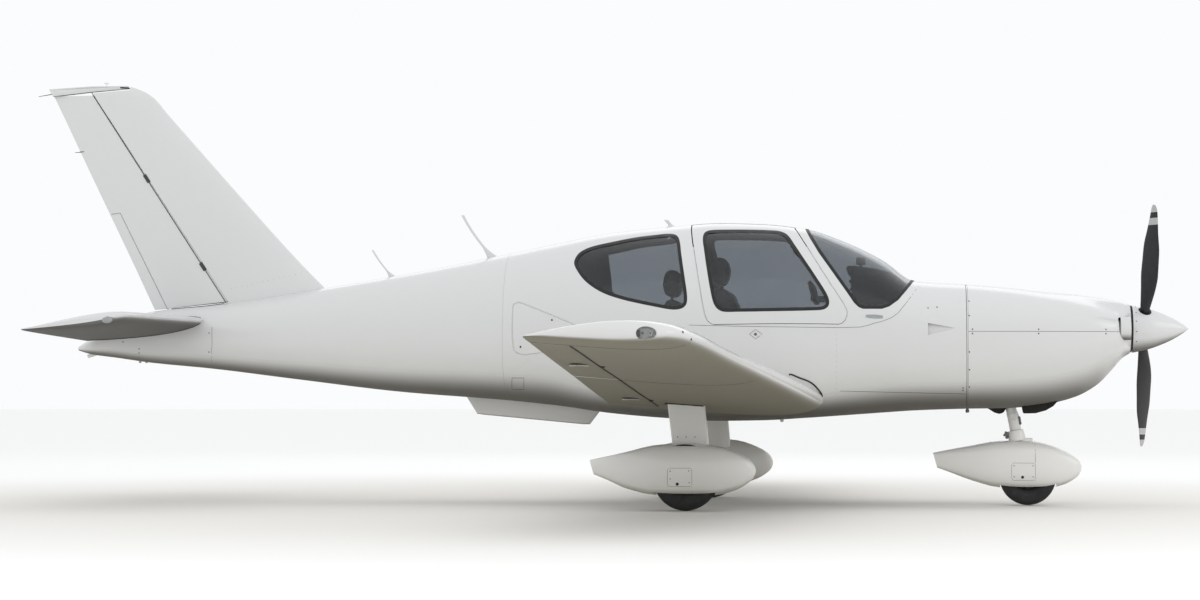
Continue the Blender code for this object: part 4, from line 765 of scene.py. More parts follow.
# %% [markdown]
# ## Wings and their moving parts
# An aerofoil has a round nose and a thin tail. One formula gives its thickness, and the table
# gives its chord and height along the span. Flap and aileron have round noses about their
# hinge line, and the wing behind the line is hollowed out to take them. One side is made, and
# the other is its mirror image with a mesh of its own.
# %% Wings
# spanwise y, leading edge station, trailing edge station, their heights, thickness by chord
WING = (
    (0.420, 2.369, 3.782, 0.690, 0.660, 0.160),
    (0.620, 2.395, 3.780, 0.704, 0.676, 0.160),
    (1.600, 2.524, 3.774, 0.777, 0.752, 0.160),
    (2.600, 2.656, 3.767, 0.854, 0.832, 0.160),
    (3.600, 2.788, 3.761, 0.931, 0.910, 0.160),
    (4.600, 2.920, 3.754, 1.009, 0.989, 0.162),
    (4.760, 2.965, 3.752, 1.020, 1.001, 0.158),
    (4.820, 3.005, 3.750, 1.024, 1.007, 0.153),
    (4.850, 3.035, 3.748, 1.025, 1.010, 0.145),
    (4.870, 3.075, 3.743, 1.025, 1.012, 0.124),
    (4.880, 3.110, 3.738, 1.024, 1.013, 0.090),
    (4.885, 3.145, 3.735, 1.024, 1.013, 0.042),
)
WING_CAMBER = 0.02
HINGE_SHARE = 0.765
COVE_GAP = 0.006
FLAP_SPAN = (0.74, 2.63)
AILERON_SPAN = (2.65, 4.56)


def aerofoil(share, thickness):
    form = 0.2969 * math.sqrt(share) - 0.1260 * share - 0.3516 * share ** 2
    return 5 * thickness * (form + 0.2843 * share ** 3 - 0.1036 * share ** 4)


def wing_point(row, side, share, sign, camber=WING_CAMBER, root_taper=0.0):
    """A point of the aerofoil: sign 1 is its upper side, -1 its lower, 0 its middle line."""
    y, lead, trail, lead_z, trail_z, thickness = row
    chord = trail - lead
    half = aerofoil(share, thickness) * chord + 0.0018 * share
    middle = camber * chord * 4 * share * (1 - share)
    z = lead_z + (trail_z - lead_z) * share + middle + sign * half
    return at(lead + chord * share, side * (y - root_taper * share), z)


def wing_ring(row, side, count=34, **more):
    shares = [0.5 * (1 + math.cos(math.pi * i / count)) for i in range(count + 1)]
    ring = [wing_point(row, side, share, 1, **more) for share in shares]
    ring += [wing_point(row, side, share, -1, **more) for share in shares[-2::-1]]
    return ring + ring[:1]


def surface_ring(y, side, gap=0.0, aft=None, count=24):
    """Section of a flap or aileron. With aft it is the cutter of the cove instead."""
    row = monotone(WING, y)
    hinge = wing_point(row, side, HINGE_SHARE, 0)
    radius = (wing_point(row, side, HINGE_SHARE, 1) - hinge).length - 0.0006 + gap
    ring = []
    for i in range(count + 1):
        angle = math.radians(-90 + 180 * i / count)
        ring.append(hinge + Vector((radius * math.cos(angle), 0, radius * math.sin(angle))))
    if aft:
        ring += [at(aft, side * y, hinge.z + radius), at(aft, side * y, hinge.z - radius)]
    else:
        shares = (0.80, 0.84, 0.88, 0.92, 0.96, 1.0)
        ring += [wing_point(row, side, share, 1) for share in shares]
        ring += [wing_point(row, side, share, -1) for share in reversed(shares)]
    return ring + ring[:1]


def mirrored(piece, name):
    """The same piece for the other side, with a mesh of its own."""
    bpy.ops.object.select_all(action="DESELECT")
    piece.select_set(True)
    bpy.context.view_layer.objects.active = piece
    bpy.ops.object.duplicate()
    copy = bpy.context.object
    copy.name = copy.data.name = name
    copy.scale = (1, -1, 1)
    bpy.ops.object.transform_apply(location=False, rotation=False, scale=True)
    edit(copy)
    bpy.ops.mesh.normals_make_consistent(inside=False)
    object_mode()
    return copy


def both_sides(piece, name, finish, body, *nodes, angle=32):
    """Dresses the right piece and its mirror image. {} in a name stands for the side."""
    piece.name = piece.data.name = name.format("right")
    left = mirrored(piece, name.format("left"))
    for each, word in ((piece, "right"), (left, "left")):
        dress(each, finish, body.format(word), *[n.format(word) for n in nodes], angle=angle)
    return piece, left


def envelope(start=0.385, end=7.52):
    return loft("fuselage_space", [fuselage_ring(s) for s in spaced(start, end, 0.08)], closed_ends=True)


def ellipsoid(centre, size, segments=48):
    bpy.ops.object.select_all(action="DESELECT")
    bpy.ops.mesh.primitive_uv_sphere_add(segments=segments, ring_count=segments // 2, radius=1.0)
    piece = bpy.context.object
    piece.scale, piece.location = size, centre
    bpy.ops.object.transform_apply(location=True, rotation=False, scale=True)
    return piece


LAMP = at(3.140, -4.868, 1.0245)
tip_rows = [monotone(WING, y) for y in spaced(4.60, 4.84, 0.03)[:-1] + spaced(4.84, 4.87, 0.006)[:-1]
            + spaced(4.87, 4.885, 0.0015)]
wing = loft("wing", [wing_ring(monotone(WING, y), -1) for y in spaced(0.42, 4.60, 0.22)[:-1]]
            + [wing_ring(row, -1) for row in tip_rows], closed_ends=True)
combine(wing, envelope(1.5, 4.5))
combine(wing, ellipsoid(LAMP, (0.057, 0.026, 0.0325)))
cove_ys = spaced(FLAP_SPAN[0] - PANEL_GAP, AILERON_SPAN[1] + PANEL_GAP, 0.4)
combine(wing, loft("cove", [surface_ring(y, -1, COVE_GAP, 3.95) for y in cove_ys], closed_ends=True))
both_sides(wing, "wing_skin_{}", WING_PAINT, "airframe", "wing_{}")
for kind, span in (("flap", FLAP_SPAN), ("aileron", AILERON_SPAN)):
    surface = loft(kind, [surface_ring(y, -1) for y in spaced(*span, 0.32)], closed_ends=True)
    both_sides(surface, kind + "_skin_{}", WING_PAINT, kind + "_{}", kind + "_{}")
print("wing faces", len(wing.data.polygons))

# %% [markdown]
# ## Tail surfaces
# Fin and rudder share flat, thin sections. The whole tailplane turns on one tube, so there is
# no separate elevator.
# %% Fin, rudder and tailplane
# z, leading edge station, trailing edge station, half thickness
FIN = (
    (1.280, 5.618, 6.975, 0.066),
    (1.640, 5.980, 7.148, 0.058),
    (2.050, 6.357, 7.350, 0.050),
    (2.450, 6.716, 7.546, 0.042),
    (2.672, 6.915, 7.654, 0.037),
    (2.790, 7.020, 7.715, 0.033),
    (2.836, 7.100, 7.725, 0.026),
    (2.866, 7.190, 7.735, 0.014),
)
RUDDER_AXIS = ((6.484, 1.360), (7.464, 2.830))
RUDDER_TOP = 2.800
HORN = ((7.186, 2.845), (7.446, 2.826), (7.721, 2.798), (7.750, 2.848), (7.45, 2.865), (7.19, 2.866))
TAILPLANE = (
    (0.205, 6.600, 7.444, 1.236, 1.103, 0.115),
    (0.900, 6.665, 7.432, 1.234, 1.121, 0.120),
    (1.480, 6.720, 7.420, 1.232, 1.136, 0.122),
    (1.560, 6.755, 7.414, 1.229, 1.139, 0.105),
    (1.600, 6.845, 7.405, 1.214, 1.143, 0.045),
)


def fin_half(share, half):
    return aerofoil(share, 1.0) * half * 2 + 0.002 * share


def fin_ring(z, count=26):
    _, lead, trail, half = monotone(FIN, z)
    shares = [0.5 * (1 + math.cos(math.pi * i / count)) for i in range(count + 1)]
    ring = [at(lead + (trail - lead) * share, fin_half(share, half), z) for share in shares]
    ring += [at(lead + (trail - lead) * share, -fin_half(share, half), z) for share in shares[-2::-1]]
    return ring + ring[:1]


def rudder_ring(z, gap=0.0, aft=None, count=20):
    _, lead, trail, half = monotone(FIN, z)
    (low_s, low_z), (high_s, high_z) = RUDDER_AXIS
    station = low_s + (high_s - low_s) * (z - low_z) / (high_z - low_z)
    slant = math.atan2(high_s - low_s, high_z - low_z)
    radius = fin_half((station - lead) / (trail - lead), half) - 0.0006 + gap
    ring = []
    for i in range(count + 1):
        angle = math.radians(-90 + 180 * i / count)
        ring.append(at(station - radius * math.cos(angle) / math.cos(slant), radius * math.sin(angle), z))
    if aft:
        ring += [at(aft, radius, z), at(aft, -radius, z)]
    else:
        shares = (0.2, 0.4, 0.6, 0.8, 1.0)
        for sign, row in ((1, shares), (-1, shares[::-1])):
            for part in row:
                here = station + (trail - station) * part
                ring.append(at(here, sign * fin_half((here - lead) / (trail - lead), half), z))
    return ring + ring[:1]


fin = loft("fin_skin", [fin_ring(z) for z in spaced(1.28, 2.672, 0.12)[:-1] + spaced(2.672, 2.866, 0.016)],
           closed_ends=True)
combine(fin, envelope(5.2, 7.2))
low, high = [at(s, 0, z) for s, z in RUDDER_AXIS]
lean = (high - low).normalized()
cove = [rudder_ring(z, COVE_GAP, 7.9) for z in spaced(1.20, 2.80, 0.2)]
cove.append([point + lean * 0.06 for point in cove[-1]])
combine(fin, loft("fin_cove", cove, closed_ends=True))
horn_space = ((7.174, 2.835), (7.446, 2.814), (7.80, 2.777), (7.80, 2.95), (7.174, 2.95))
combine(fin, prism("horn_space", horn_space, -0.2, 0.2))
dress(fin, WHITE_PAINT, "airframe", "fin")

rudder = loft("rudder_skin", [rudder_ring(z) for z in spaced(1.285, RUDDER_TOP, 0.14)], closed_ends=True)
foot_trim = ((6.30, 1.20), (7.30, 1.20), (7.30, 1.283), (6.95, 1.319), (6.47, 1.369), (6.30, 1.387))
combine(rudder, prism("foot_trim", foot_trim, -0.2, 0.2))
dress(rudder, WHITE_PAINT, "rudder", "rudder")
horn_rings = []
for share in (-1.0, -0.85, -0.4, 0.4, 0.85, 1.0):
    outline = grown(HORN, -0.006) if abs(share) == 1 else HORN
    ring = [at(s, 0.024 * share * (0.35 if s < 7.2 else 1.0), z) for s, z in outline]
    horn_rings.append(ring + ring[:1])
horn = loft("rudder_horn", horn_rings, closed_ends=True)
dress(horn, WHITE_PAINT, "rudder")

plane_ys = spaced(0.205, 1.48, 0.16)[:-1] + spaced(1.48, 1.60, 0.015)
plane = loft("tailplane", [wing_ring(monotone(TAILPLANE, y), -1, 30, camber=0.0,
             root_taper=0.08 * max(0.0, (0.9 - y) / 0.695) if y < 0.9 else 0.0) for y in plane_ys], closed_ends=True)
both_sides(plane, "tailplane_skin_{}", TAIL_PAINT, "tailplane", "tailplane")
print("tail ready")

# %% [markdown]
# ## Spats and legs
# Each wheel runs in a streamlined spat. Its sections are superellipses along the wheel's
# station, and the wheel's well is cut from below.
# %% Spats
WHEEL_Y = 1.165
MAIN_STATION, NOSE_STATION = 3.235, 1.055
TYRE_GAP = 0.008
# station from the wheel's axis, half width, z of the upper line, z of the lower line
MAIN_SPAT = (
    (-0.440, 0.012, 0.262, 0.240),
    (-0.428, 0.038, 0.292, 0.208),
    (-0.395, 0.064, 0.326, 0.176),
    (-0.320, 0.096, 0.366, 0.132),
    (-0.190, 0.122, 0.408, 0.098),
    (0.000, 0.130, 0.424, 0.093),
    (0.190, 0.122, 0.412, 0.098),
    (0.360, 0.096, 0.372, 0.134),
    (0.500, 0.062, 0.340, 0.188),
    (0.605, 0.030, 0.318, 0.226),
)
NOSE_SPAT = (
    (-0.352, 0.012, 0.262, 0.240),
    (-0.340, 0.036, 0.290, 0.208),
    (-0.310, 0.056, 0.318, 0.178),
    (-0.235, 0.084, 0.362, 0.136),
    (-0.110, 0.112, 0.410, 0.110),
    (0.030, 0.118, 0.428, 0.106),
    (0.200, 0.112, 0.424, 0.118),
    (0.360, 0.084, 0.396, 0.160),
    (0.500, 0.054, 0.370, 0.206),
    (0.622, 0.026, 0.345, 0.246),
)


def spat_rings(table, station, y, grow=0.0, count=56):
    first, last = table[0][0], table[-1][0]
    shares = [0.5 * (1 - math.cos(math.pi * i / 26)) for i in range(27)]
    rings = []
    for share in shares:
        offset, half, top, bottom = monotone(table, first + (last - first) * share ** 1.25)
        middle, height = (top + bottom) / 2, (top - bottom) / 2
        slant = 0.28 * max(0.0, (offset - 0.35) / (last - 0.35)) ** 2
        ring = []
        for i in range(count):
            angle = 2 * math.pi * i / count
            c, s = math.cos(angle), math.sin(angle)
            z = middle + (height + grow) * math.copysign(abs(c) ** 0.72, c)
            ring.append(at(station + offset - slant * (top - z),
                           y + (half + grow) * math.copysign(abs(s) ** 0.72, s), z))
        rings.append(ring + ring[:1])
    return rings


def drum(name, centre, radius, depth, axis=(0, 1, 0), sides=64):
    """A closed cylinder about a point."""
    bpy.ops.object.select_all(action="DESELECT")
    bpy.ops.mesh.primitive_cylinder_add(vertices=sides, radius=radius, depth=depth, location=(0, 0, 0))
    piece = bpy.context.object
    piece.name = piece.data.name = name
    piece.rotation_euler = Vector(axis).to_track_quat("Z", "Y").to_euler()
    piece.location = centre
    bpy.ops.object.transform_apply(location=True, rotation=True, scale=False)
    return piece


spat = loft("main_spat", spat_rings(MAIN_SPAT, MAIN_STATION, -WHEEL_Y), closed_ends=True)
combine(spat, drum("well", at(MAIN_STATION, -WHEEL_Y, 0.205), 0.213, 0.156))
both_sides(spat, "main_spat_skin_{}", GEAR_PAINT, "airframe", "main_spat_{}")
nose_spat = loft("nose_spat_skin", spat_rings(NOSE_SPAT, NOSE_STATION, 0.0), closed_ends=True)
combine(nose_spat, drum("well", at(NOSE_STATION, 0, 0.185), 0.193, 0.141))
dress(nose_spat, GEAR_PAINT, "nose_steer", "nose_spat")

leg_rings = []
for station, z, chord, thickness in ((3.250, 0.80, 0.244, 0.066), (3.2275, 0.58, 0.236, 0.068), (3.205, 0.36, 0.228, 0.070)):
    ring = []
    for i in range(48):
        angle = 2 * math.pi * i / 48
        c, s = math.cos(angle), math.sin(angle)
        ring.append(at(station - chord / 2 * math.copysign(abs(c) ** 0.62, c),
                       -1.077 + thickness / 2 * math.copysign(abs(s) ** 0.55, s), z))
    leg_rings.append(ring + ring[:1])
leg = loft("main_leg", leg_rings, closed_ends=True)
wing_space = loft("wing_space", [wing_ring(monotone(WING, y), -1) for y in spaced(0.5, 1.8, 0.2)], closed_ends=True)
combine(leg, wing_space)
combine(leg, loft("spat_space", spat_rings(MAIN_SPAT, MAIN_STATION, -WHEEL_Y), closed_ends=True))
both_sides(leg, "main_leg_skin_{}", GEAR_PAINT, "airframe", "main_leg_{}")
print("gear ready")

# %% [markdown]
# ## Blade paint
# Blades are forged aluminium under matt charcoal enamel, and their faces are sanded by grit
# from the ground. The bands of light paint near the tips show the turning disc. On the real
# blades they are masked level while the propeller stands at rest, so a ramp over the height
# above or below the shaft draws them.
# %% Blade paint
def make_blade_paint(name, dark, light, bands, axis_z):
    material, shader = new_finish(name, IOR=1.5)
    place = add_node(material, "ShaderNodeTexCoord")
    split = add_node(material, "ShaderNodeSeparateXYZ", {}, {0: (place, "Object")})
    offset = add_node(material, "ShaderNodeMath", {"operation": "SUBTRACT"}, {0: (split, "Z"), 1: axis_z})
    reach = add_node(material, "ShaderNodeMath", {"operation": "ABSOLUTE"}, {0: (offset, 0)})
    ramp = add_node(material, "ShaderNodeValToRGB", {}, {0: (reach, 0)})
    ramp.color_ramp.interpolation = "CONSTANT"
    ramp.color_ramp.elements.remove(ramp.color_ramp.elements[1])
    ramp.color_ramp.elements[0].color = colour(dark)
    for height, is_light in bands:
        ramp.color_ramp.elements.new(height).color = colour(light if is_light else dark)
    grit = noise(material, place, 90.0, 4.0, 0.6)
    wear = add_node(material, "ShaderNodeMapRange", {}, {
        "Value": (grit, "Fac"), "From Min": 0.5, "From Max": 0.9, "To Min": 0.0, "To Max": 0.18})
    mix = add_node(material, "ShaderNodeMix", {"data_type": "RGBA"}, {
        "Factor": (wear, 0), 6: (ramp, "Color"), 7: colour("#6A6B6C")})
    link(material, mix, 2, shader, "Base Color")
    dull = add_node(material, "ShaderNodeMapRange", {}, {
        "Value": (grit, "Fac"), "From Min": 0.3, "From Max": 0.7, "To Min": 0.38, "To Max": 0.55})
    link(material, dull, 0, shader, "Roughness")
    return material


PROP_Z = 1.165
TIP_BANDS = ((0.657, True), (0.702, False), (0.737, True))
BLADE_PAINT = make_blade_paint("matt_charcoal_enamel", "#1A1B1F", "#B9BABB", TIP_BANDS, PROP_Z)

# %% [markdown]
# ## Propeller
# The spinner is a turned shell of spun aluminium. Each blade twists from coarse at the root
# to fine at the tip.
# %% Propeller
PROP_CENTRE = at(0.262, 0, 1.165)
PROP_TILT_DEG = 33.7
SPINNER = (
    (0.0, 0.0), (0.030, 0.025), (0.065, 0.048), (0.106, 0.072), (0.183, 0.107), (0.261, 0.135), (0.362, 0.157),
)
ROOT_SHIFT = ((0.062, 0.028), (0.150, 0.027), (0.220, 0.021), (0.320, 0.013), (0.440, 0.009), (0.600, 0.006),
              (0.750, 0.003), (0.860, 0.0), (0.940, 0.0))
# radius, chord, thickness, blade angle from the disc in degrees
BLADE = (
    (0.062, 0.052, 0.052, 68),
    (0.150, 0.062, 0.050, 68),
    (0.220, 0.078, 0.034, 68),
    (0.320, 0.102, 0.024, 64),
    (0.440, 0.127, 0.018, 53),
    (0.600, 0.128, 0.014, 47),
    (0.750, 0.092, 0.011, 43),
    (0.860, 0.068, 0.009, 38),
    (0.922, 0.048, 0.007, 36),
    (0.940, 0.022, 0.005, 35),
)


def turned(name, profile, centre, sides=72):
    """A profile of station and radius, spun round the propeller's axis."""
    bpy.ops.object.select_all(action="DESELECT")
    bpy.ops.mesh.primitive_circle_add(vertices=len(profile), fill_type="NOTHING")
    piece = bpy.context.object
    piece.name = piece.data.name = name
    for vertex, (station, radius) in zip(piece.data.vertices, profile):
        vertex.co = at(station, 0, radius + centre.z)
    edit(piece)
    bpy.ops.mesh.spin(steps=sides, angle=2 * math.pi, center=centre, axis=(1, 0, 0))
    bpy.ops.mesh.select_all(action="SELECT")
    bpy.ops.mesh.remove_doubles(threshold=0.00002)
    bpy.ops.mesh.normals_make_consistent(inside=False)
    object_mode()
    return piece


fine_spinner = [tuple(monotone(SPINNER, 0.362 * (i / 26) ** 1.4)) for i in range(27)]
fine_spinner[0] = (0.0, 0.0005)
spinner_profile = fine_spinner + [(0.370, 0.157), (0.370, 0.0625), (0.362, 0.0625), (0.362, 0.150)]
spinner_profile += [(s + 0.003, r - 0.006) for s, r in fine_spinner[-3:8:-1]] + [(0.06, 0.0005)]
spinner = turned("spinner_skin", spinner_profile, PROP_CENTRE)
blades = []
for i, turn_deg in enumerate((PROP_TILT_DEG, PROP_TILT_DEG + 180)):
    turn = Matrix.Rotation(math.radians(turn_deg), 3, "X")
    rings = []
    for radius in spaced(0.062, 0.88, 0.035)[:-1] + spaced(0.88, 0.94, 0.006):
        _, chord, thick, pitch = monotone(BLADE, radius)
        pitch = math.radians(pitch)
        along = Vector((math.sin(pitch), -math.cos(pitch), 0))
        across = Vector((math.cos(pitch), math.sin(pitch), 0))
        ring = []
        for k in range(40):
            angle = 2 * math.pi * k / 40
            flat = along * (chord / 2 * math.cos(angle)) + across * (thick / 2 * math.sin(angle))
            ring.append(PROP_CENTRE + turn @ (flat + Vector((-monotone(ROOT_SHIFT, radius)[1], 0, radius))))
        rings.append(ring + ring[:1])
    blades.append(loft(f"blade_skin_{i + 1}", rings, closed_ends=True))
    axis = turn @ Vector((0, 0, 1))
    hole = PROP_CENTRE + axis * 0.135 - Vector((0.027, 0, 0))
    combine(spinner, drum("hole", hole, 0.043, 0.13, axis, 48))
    boot = drum(f"blade_boot_{i + 1}", hole - axis * 0.010, 0.0415, 0.024, axis, 48)
    combine(boot, drum("bore", hole, 0.024, 0.13, axis, 32))
    dress(boot, RUBBER, "propeller")
dress(spinner, WHITE_PAINT, "propeller", "spinner")
for i, blade in enumerate(blades):
    dress(blade, BLADE_PAINT, "propeller", f"blade_{i + 1}")
print("propeller ready")

# %% [markdown]
# ## Small helpers for fittings
# Fittings are bars, blocks and turned pieces, joined into one mesh. A bar is a cone
# primitive between two points, and a block a cube with its edges rounded.
# %% Bars and blocks
def bar(start, end, radius, end_radius=None, sides=24, rounding=0.0):
    start, end = Vector(start), Vector(end)
    bpy.ops.object.select_all(action="DESELECT")
    bpy.ops.mesh.primitive_cone_add(
        vertices=sides, radius1=radius, radius2=radius if end_radius is None else end_radius,
        depth=(end - start).length)
    piece = bpy.context.object
    piece.rotation_euler = (end - start).to_track_quat("Z", "Y").to_euler()
    piece.location = start.lerp(end, 0.5)
    bpy.ops.object.transform_apply(location=True, rotation=True, scale=False)
    return soften(piece, rounding) if rounding else piece


def soften(piece, width, segments=3):
    modifier = piece.modifiers.new("edge", "BEVEL")
    modifier.width, modifier.segments, modifier.limit_method = width, segments, "ANGLE"
    apply_all(piece)
    return piece


def block(centre, size, turn=(0, 0, 0), rounding=0.004):
    bpy.ops.object.select_all(action="DESELECT")
    bpy.ops.mesh.primitive_cube_add(size=1, location=centre, rotation=turn, scale=size)
    bpy.ops.object.transform_apply(location=True, rotation=True, scale=True)
    return soften(bpy.context.object, rounding)


def joined(name, pieces):
    bpy.ops.object.select_all(action="DESELECT")
    for piece in pieces:
        piece.select_set(True)
    bpy.context.view_layer.objects.active = pieces[0]
    if len(pieces) > 1:
        bpy.ops.object.join()
    pieces[0].name = pieces[0].data.name = name
    return pieces[0]


def spun_across(name, profile, centre, sides=96):
    """A closed profile of distance across and radius, spun about a wheel's axle."""
    bpy.ops.object.select_all(action="DESELECT")
    bpy.ops.mesh.primitive_circle_add(vertices=len(profile), fill_type="NOTHING")
    piece = bpy.context.object
    piece.name = piece.data.name = name
    for vertex, (across, radius) in zip(piece.data.vertices, profile):
        vertex.co = centre + Vector((0, across, radius))
    edit(piece)
    bpy.ops.mesh.spin(steps=sides, angle=2 * math.pi, center=centre, axis=(0, 1, 0))
    bpy.ops.mesh.select_all(action="SELECT")
    bpy.ops.mesh.remove_doubles(threshold=0.00002)
    bpy.ops.mesh.normals_make_consistent(inside=False)
    object_mode()
    return piece


# %% [markdown]
# ## Wheels
# An aircraft tyre has plain ribs between a few grooves that run all the way round, and a
# round, smooth sidewall. The rim is two cast halves bolted together, with a small wheel cap.
# %% Wheels
def tyre_profile(radius, half, grooves):
    side = [(-0.55, 0.420), (-0.72, 0.470), (-0.88, 0.550), (-0.975, 0.650), (-1.0, 0.740), (-0.985, 0.810),
            (-0.93, 0.872), (-0.84, 0.920), (-0.72, 0.955), (-0.62, 0.972)]
    tread = []
    for groove in grooves:
        top = 1.0 - 0.07 * groove * groove
        tread += [(groove - 0.055, top), (groove - 0.038, top - 0.030), (groove + 0.038, top - 0.030),
                  (groove + 0.055, top)]
    outline = side + tread + [(-across, high) for across, high in reversed(side)]
    return [(across * half, high * radius) for across, high in outline]


def rim_profile(radius, half, bore):
    bead = radius * 0.42 - 0.0006
    hub = bore + 0.022
    face = [(-0.66, bore), (-0.66, hub - 0.004), (-0.63, hub), (-0.40, hub + 0.004), (-0.30, hub + 0.010),
            (-0.30, bead - 0.016), (-0.36, bead - 0.008), (-0.50, bead - 0.004), (-0.53, bead - 0.001),
            (-0.50, bead)]
    return [(across * half, high) for across, high in face + [(-a, high) for a, high in reversed(face)]]


WHEELS = (
    # name, body, station, distance to the left, tyre radius, half width, axle radius, grooves
    ("main_right", "main_wheel_right", MAIN_STATION, -WHEEL_Y, 0.205, 0.070, 0.0183, (-0.5, -0.17, 0.17, 0.5)),
    ("main_left", "main_wheel_left", MAIN_STATION, WHEEL_Y, 0.205, 0.070, 0.0183, (-0.5, -0.17, 0.17, 0.5)),
    ("nose", "nose_wheel", NOSE_STATION, 0.0, 0.185, 0.0625, 0.0153, (-0.36, 0.0, 0.36)),
)
for name, body, station, y, radius, half, bore, grooves in WHEELS:
    centre = at(station, y, radius)
    tyre = spun_across(name + "_tyre_tread", tyre_profile(radius, half, grooves), centre)
    dress(tyre, TYRE, body, name + "_tyre")
    rim_parts = [spun_across("rim", rim_profile(radius, half, bore), centre, 64)]
    bolt_ring = (bore + 0.022 + radius * 0.42) / 2
    for i in range(6):
        angle = math.pi * i / 3
        offset = Vector((math.cos(angle) * bolt_ring, 0, math.sin(angle) * bolt_ring))
        for way in (-1, 1):
            seat = centre + offset + Vector((0, way * half * 0.28, 0))
            rim_parts.append(bar(seat, seat + Vector((0, way * 0.009, 0)), 0.0055, sides=6))
    dress(joined(name + "_rim_halves", rim_parts), ALLOY, body, name + "_rim")
    print(name, "wheel faces", len(tyre.data.polygons))

# %% [markdown]
# ## Nose leg and fork
# The leg is a slanting tube that slides in the steered collar. A thin damper rod with a
# rubber boot stands in front of it and a torque link behind. The fork's two arms carry the
# axle inside the spat.
# %% Nose leg and fork
LEG_FOOT, LEG_HEAD = at(1.060, 0, 0.117), at(1.203, 0, 0.850)
LEG_WAY = (LEG_HEAD - LEG_FOOT).normalized()


def on_leg(z, ahead=0.0, y=0.0):
    """A point at a height on the nose leg's slanting axis, or in front of it."""
    return LEG_FOOT + LEG_WAY * ((z - LEG_FOOT.z) / LEG_WAY.z) + Vector((ahead, y, 0))


leg_parts = [bar(on_leg(0.4956), on_leg(0.874), 0.0355, sides=48),
             bar(on_leg(0.560), on_leg(0.567), 0.0375, sides=48, rounding=0.0015),
             bar(on_leg(0.600), on_leg(0.607), 0.0375, sides=48, rounding=0.0015)]
nose_leg = joined("nose_leg_tube", leg_parts)
dress(nose_leg, GEAR_PAINT, "airframe", "nose_leg")

fork_parts = [
    bar(on_leg(0.425), on_leg(0.495), 0.058, 0.052, sides=48, rounding=0.004),
    block(at(1.0755, 0, 0.413), (0.108, 0.070, 0.062), rounding=0.006),
    block(at(NOSE_STATION, 0, 0.3885), (0.060, 0.1765, 0.0148), rounding=0.003),
    bar(at(NOSE_STATION, -0.080, 0.185), at(NOSE_STATION, 0.080, 0.185), 0.0149, sides=32),
]
for way in (-1, 1):
    fork_parts.append(block(at(NOSE_STATION, way * 0.0795, 0.2785), (0.047, 0.0175, 0.2345), rounding=0.003))
fork = joined("nose_fork_casting", fork_parts)
dress(fork, GEAR_PAINT, "nose_steer", "nose_fork")

link_parts = [
    block(on_leg(0.470, -0.062), (0.030, 0.050, 0.030), (0, 0.3, 0), 0.004),
    bar(on_leg(0.462, -0.078, -0.03), on_leg(0.462, -0.078, 0.03), 0.008, sides=20, rounding=0.0015),
    bar(on_leg(0.447, -0.066, -0.02), on_leg(0.447, -0.066, 0.02), 0.010, sides=20, rounding=0.002),
]
dress(joined("nose_torque_link", link_parts), STEEL, "nose_steer")
damper = [bar(on_leg(0.492, 0.030), on_leg(0.540, 0.038), 0.006, sides=16),
          bar(on_leg(0.580, 0.040), on_leg(0.650, 0.026), 0.006, sides=16)]
dress(joined("nose_damper_rod", damper), GEAR_PAINT, "airframe")
boot = [bar(on_leg(0.532 + 0.009 * i, 0.0375 + 0.0003 * i), on_leg(0.540 + 0.009 * i, 0.0377 + 0.0003 * i),
            0.013 if i % 2 else 0.010, 0.010 if i % 2 else 0.013, sides=20) for i in range(6)]
dress(joined("nose_damper_boot", boot), RUBBER, "airframe")
print("nose gear faces", len(fork.data.polygons))

# %% [markdown]
# ## Under the cowling
# The exhaust outlet, a heat shroud behind the leg and a drain pipe hang below the cowling.
# The firewall closes the engine bay. Its dark edge shows on each side of a painted strip as a
# painted shade line between cowling and cabin. The engine itself is closed in, so its block
# only gets a cast finish.
# %% Exhaust, drain, firewall and engine
EXHAUST_SIDE = ((1.099, 0.668), (1.087, 0.606), (1.008, 0.608), (0.940, 0.627), (0.892, 0.655), (0.853, 0.700), (1.099, 0.700))
EXHAUST_Y = -0.12
exhaust = soften(prism("exhaust_shroud", EXHAUST_SIDE, EXHAUST_Y - 0.05, EXHAUST_Y + 0.05), 0.010)
combine(exhaust, bar(at(1.20, EXHAUST_Y, 0.632), at(0.98, EXHAUST_Y, 0.646), 0.019, sides=32))
dress(exhaust, SOOT, "airframe", "exhaust_stack")

SHROUD = ((1.330, 0.648), (1.300, 0.630), (1.272, 0.612), (1.238, 0.602), (1.212, 0.612), (1.190, 0.648))
shroud = soften(prism("leg_heat_shroud", SHROUD, -0.060, 0.020), 0.008)
dress(shroud, SOOT, "airframe")
drain_parts = [bar(at(1.452, -0.10, 0.690), at(1.452, -0.10, 0.628), 0.009, sides=20),
               bar(at(1.452, -0.10, 0.632), at(1.450, -0.10, 0.612), 0.013, 0.012, sides=20, rounding=0.002),
               block(at(1.455, -0.10, 0.650), (0.030, 0.050, 0.018))]
dress(joined("drain_pipe", drain_parts), STEEL, "airframe")

firewall = loft("firewall_sheet", [fuselage_ring(1.4532, 0.006), fuselage_ring(1.4650, 0.006)], closed_ends=True)
# The firewall's dark finish is a painted shade line where its edge shows.
dress(firewall, SHEET, "airframe", "firewall")
strip = skin("cowl_strip", [1.4545, 1.4580, 1.4615], 0.0012, 0.006)
dress(strip, WHITE_PAINT, "airframe")


def coat(node, finish):
    """A finish for a CAD node that keeps its own shape."""
    data = bpy.data.objects[node].data
    data.materials.clear()
    data.materials.append(finish)


for node, finish in (("engine_block", CASTING), ("prop_hub", STEEL), ("main_axle_left", STEEL),
                     ("main_axle_right", STEEL)):
    coat(node, finish)
print("lower cowling fittings ready")

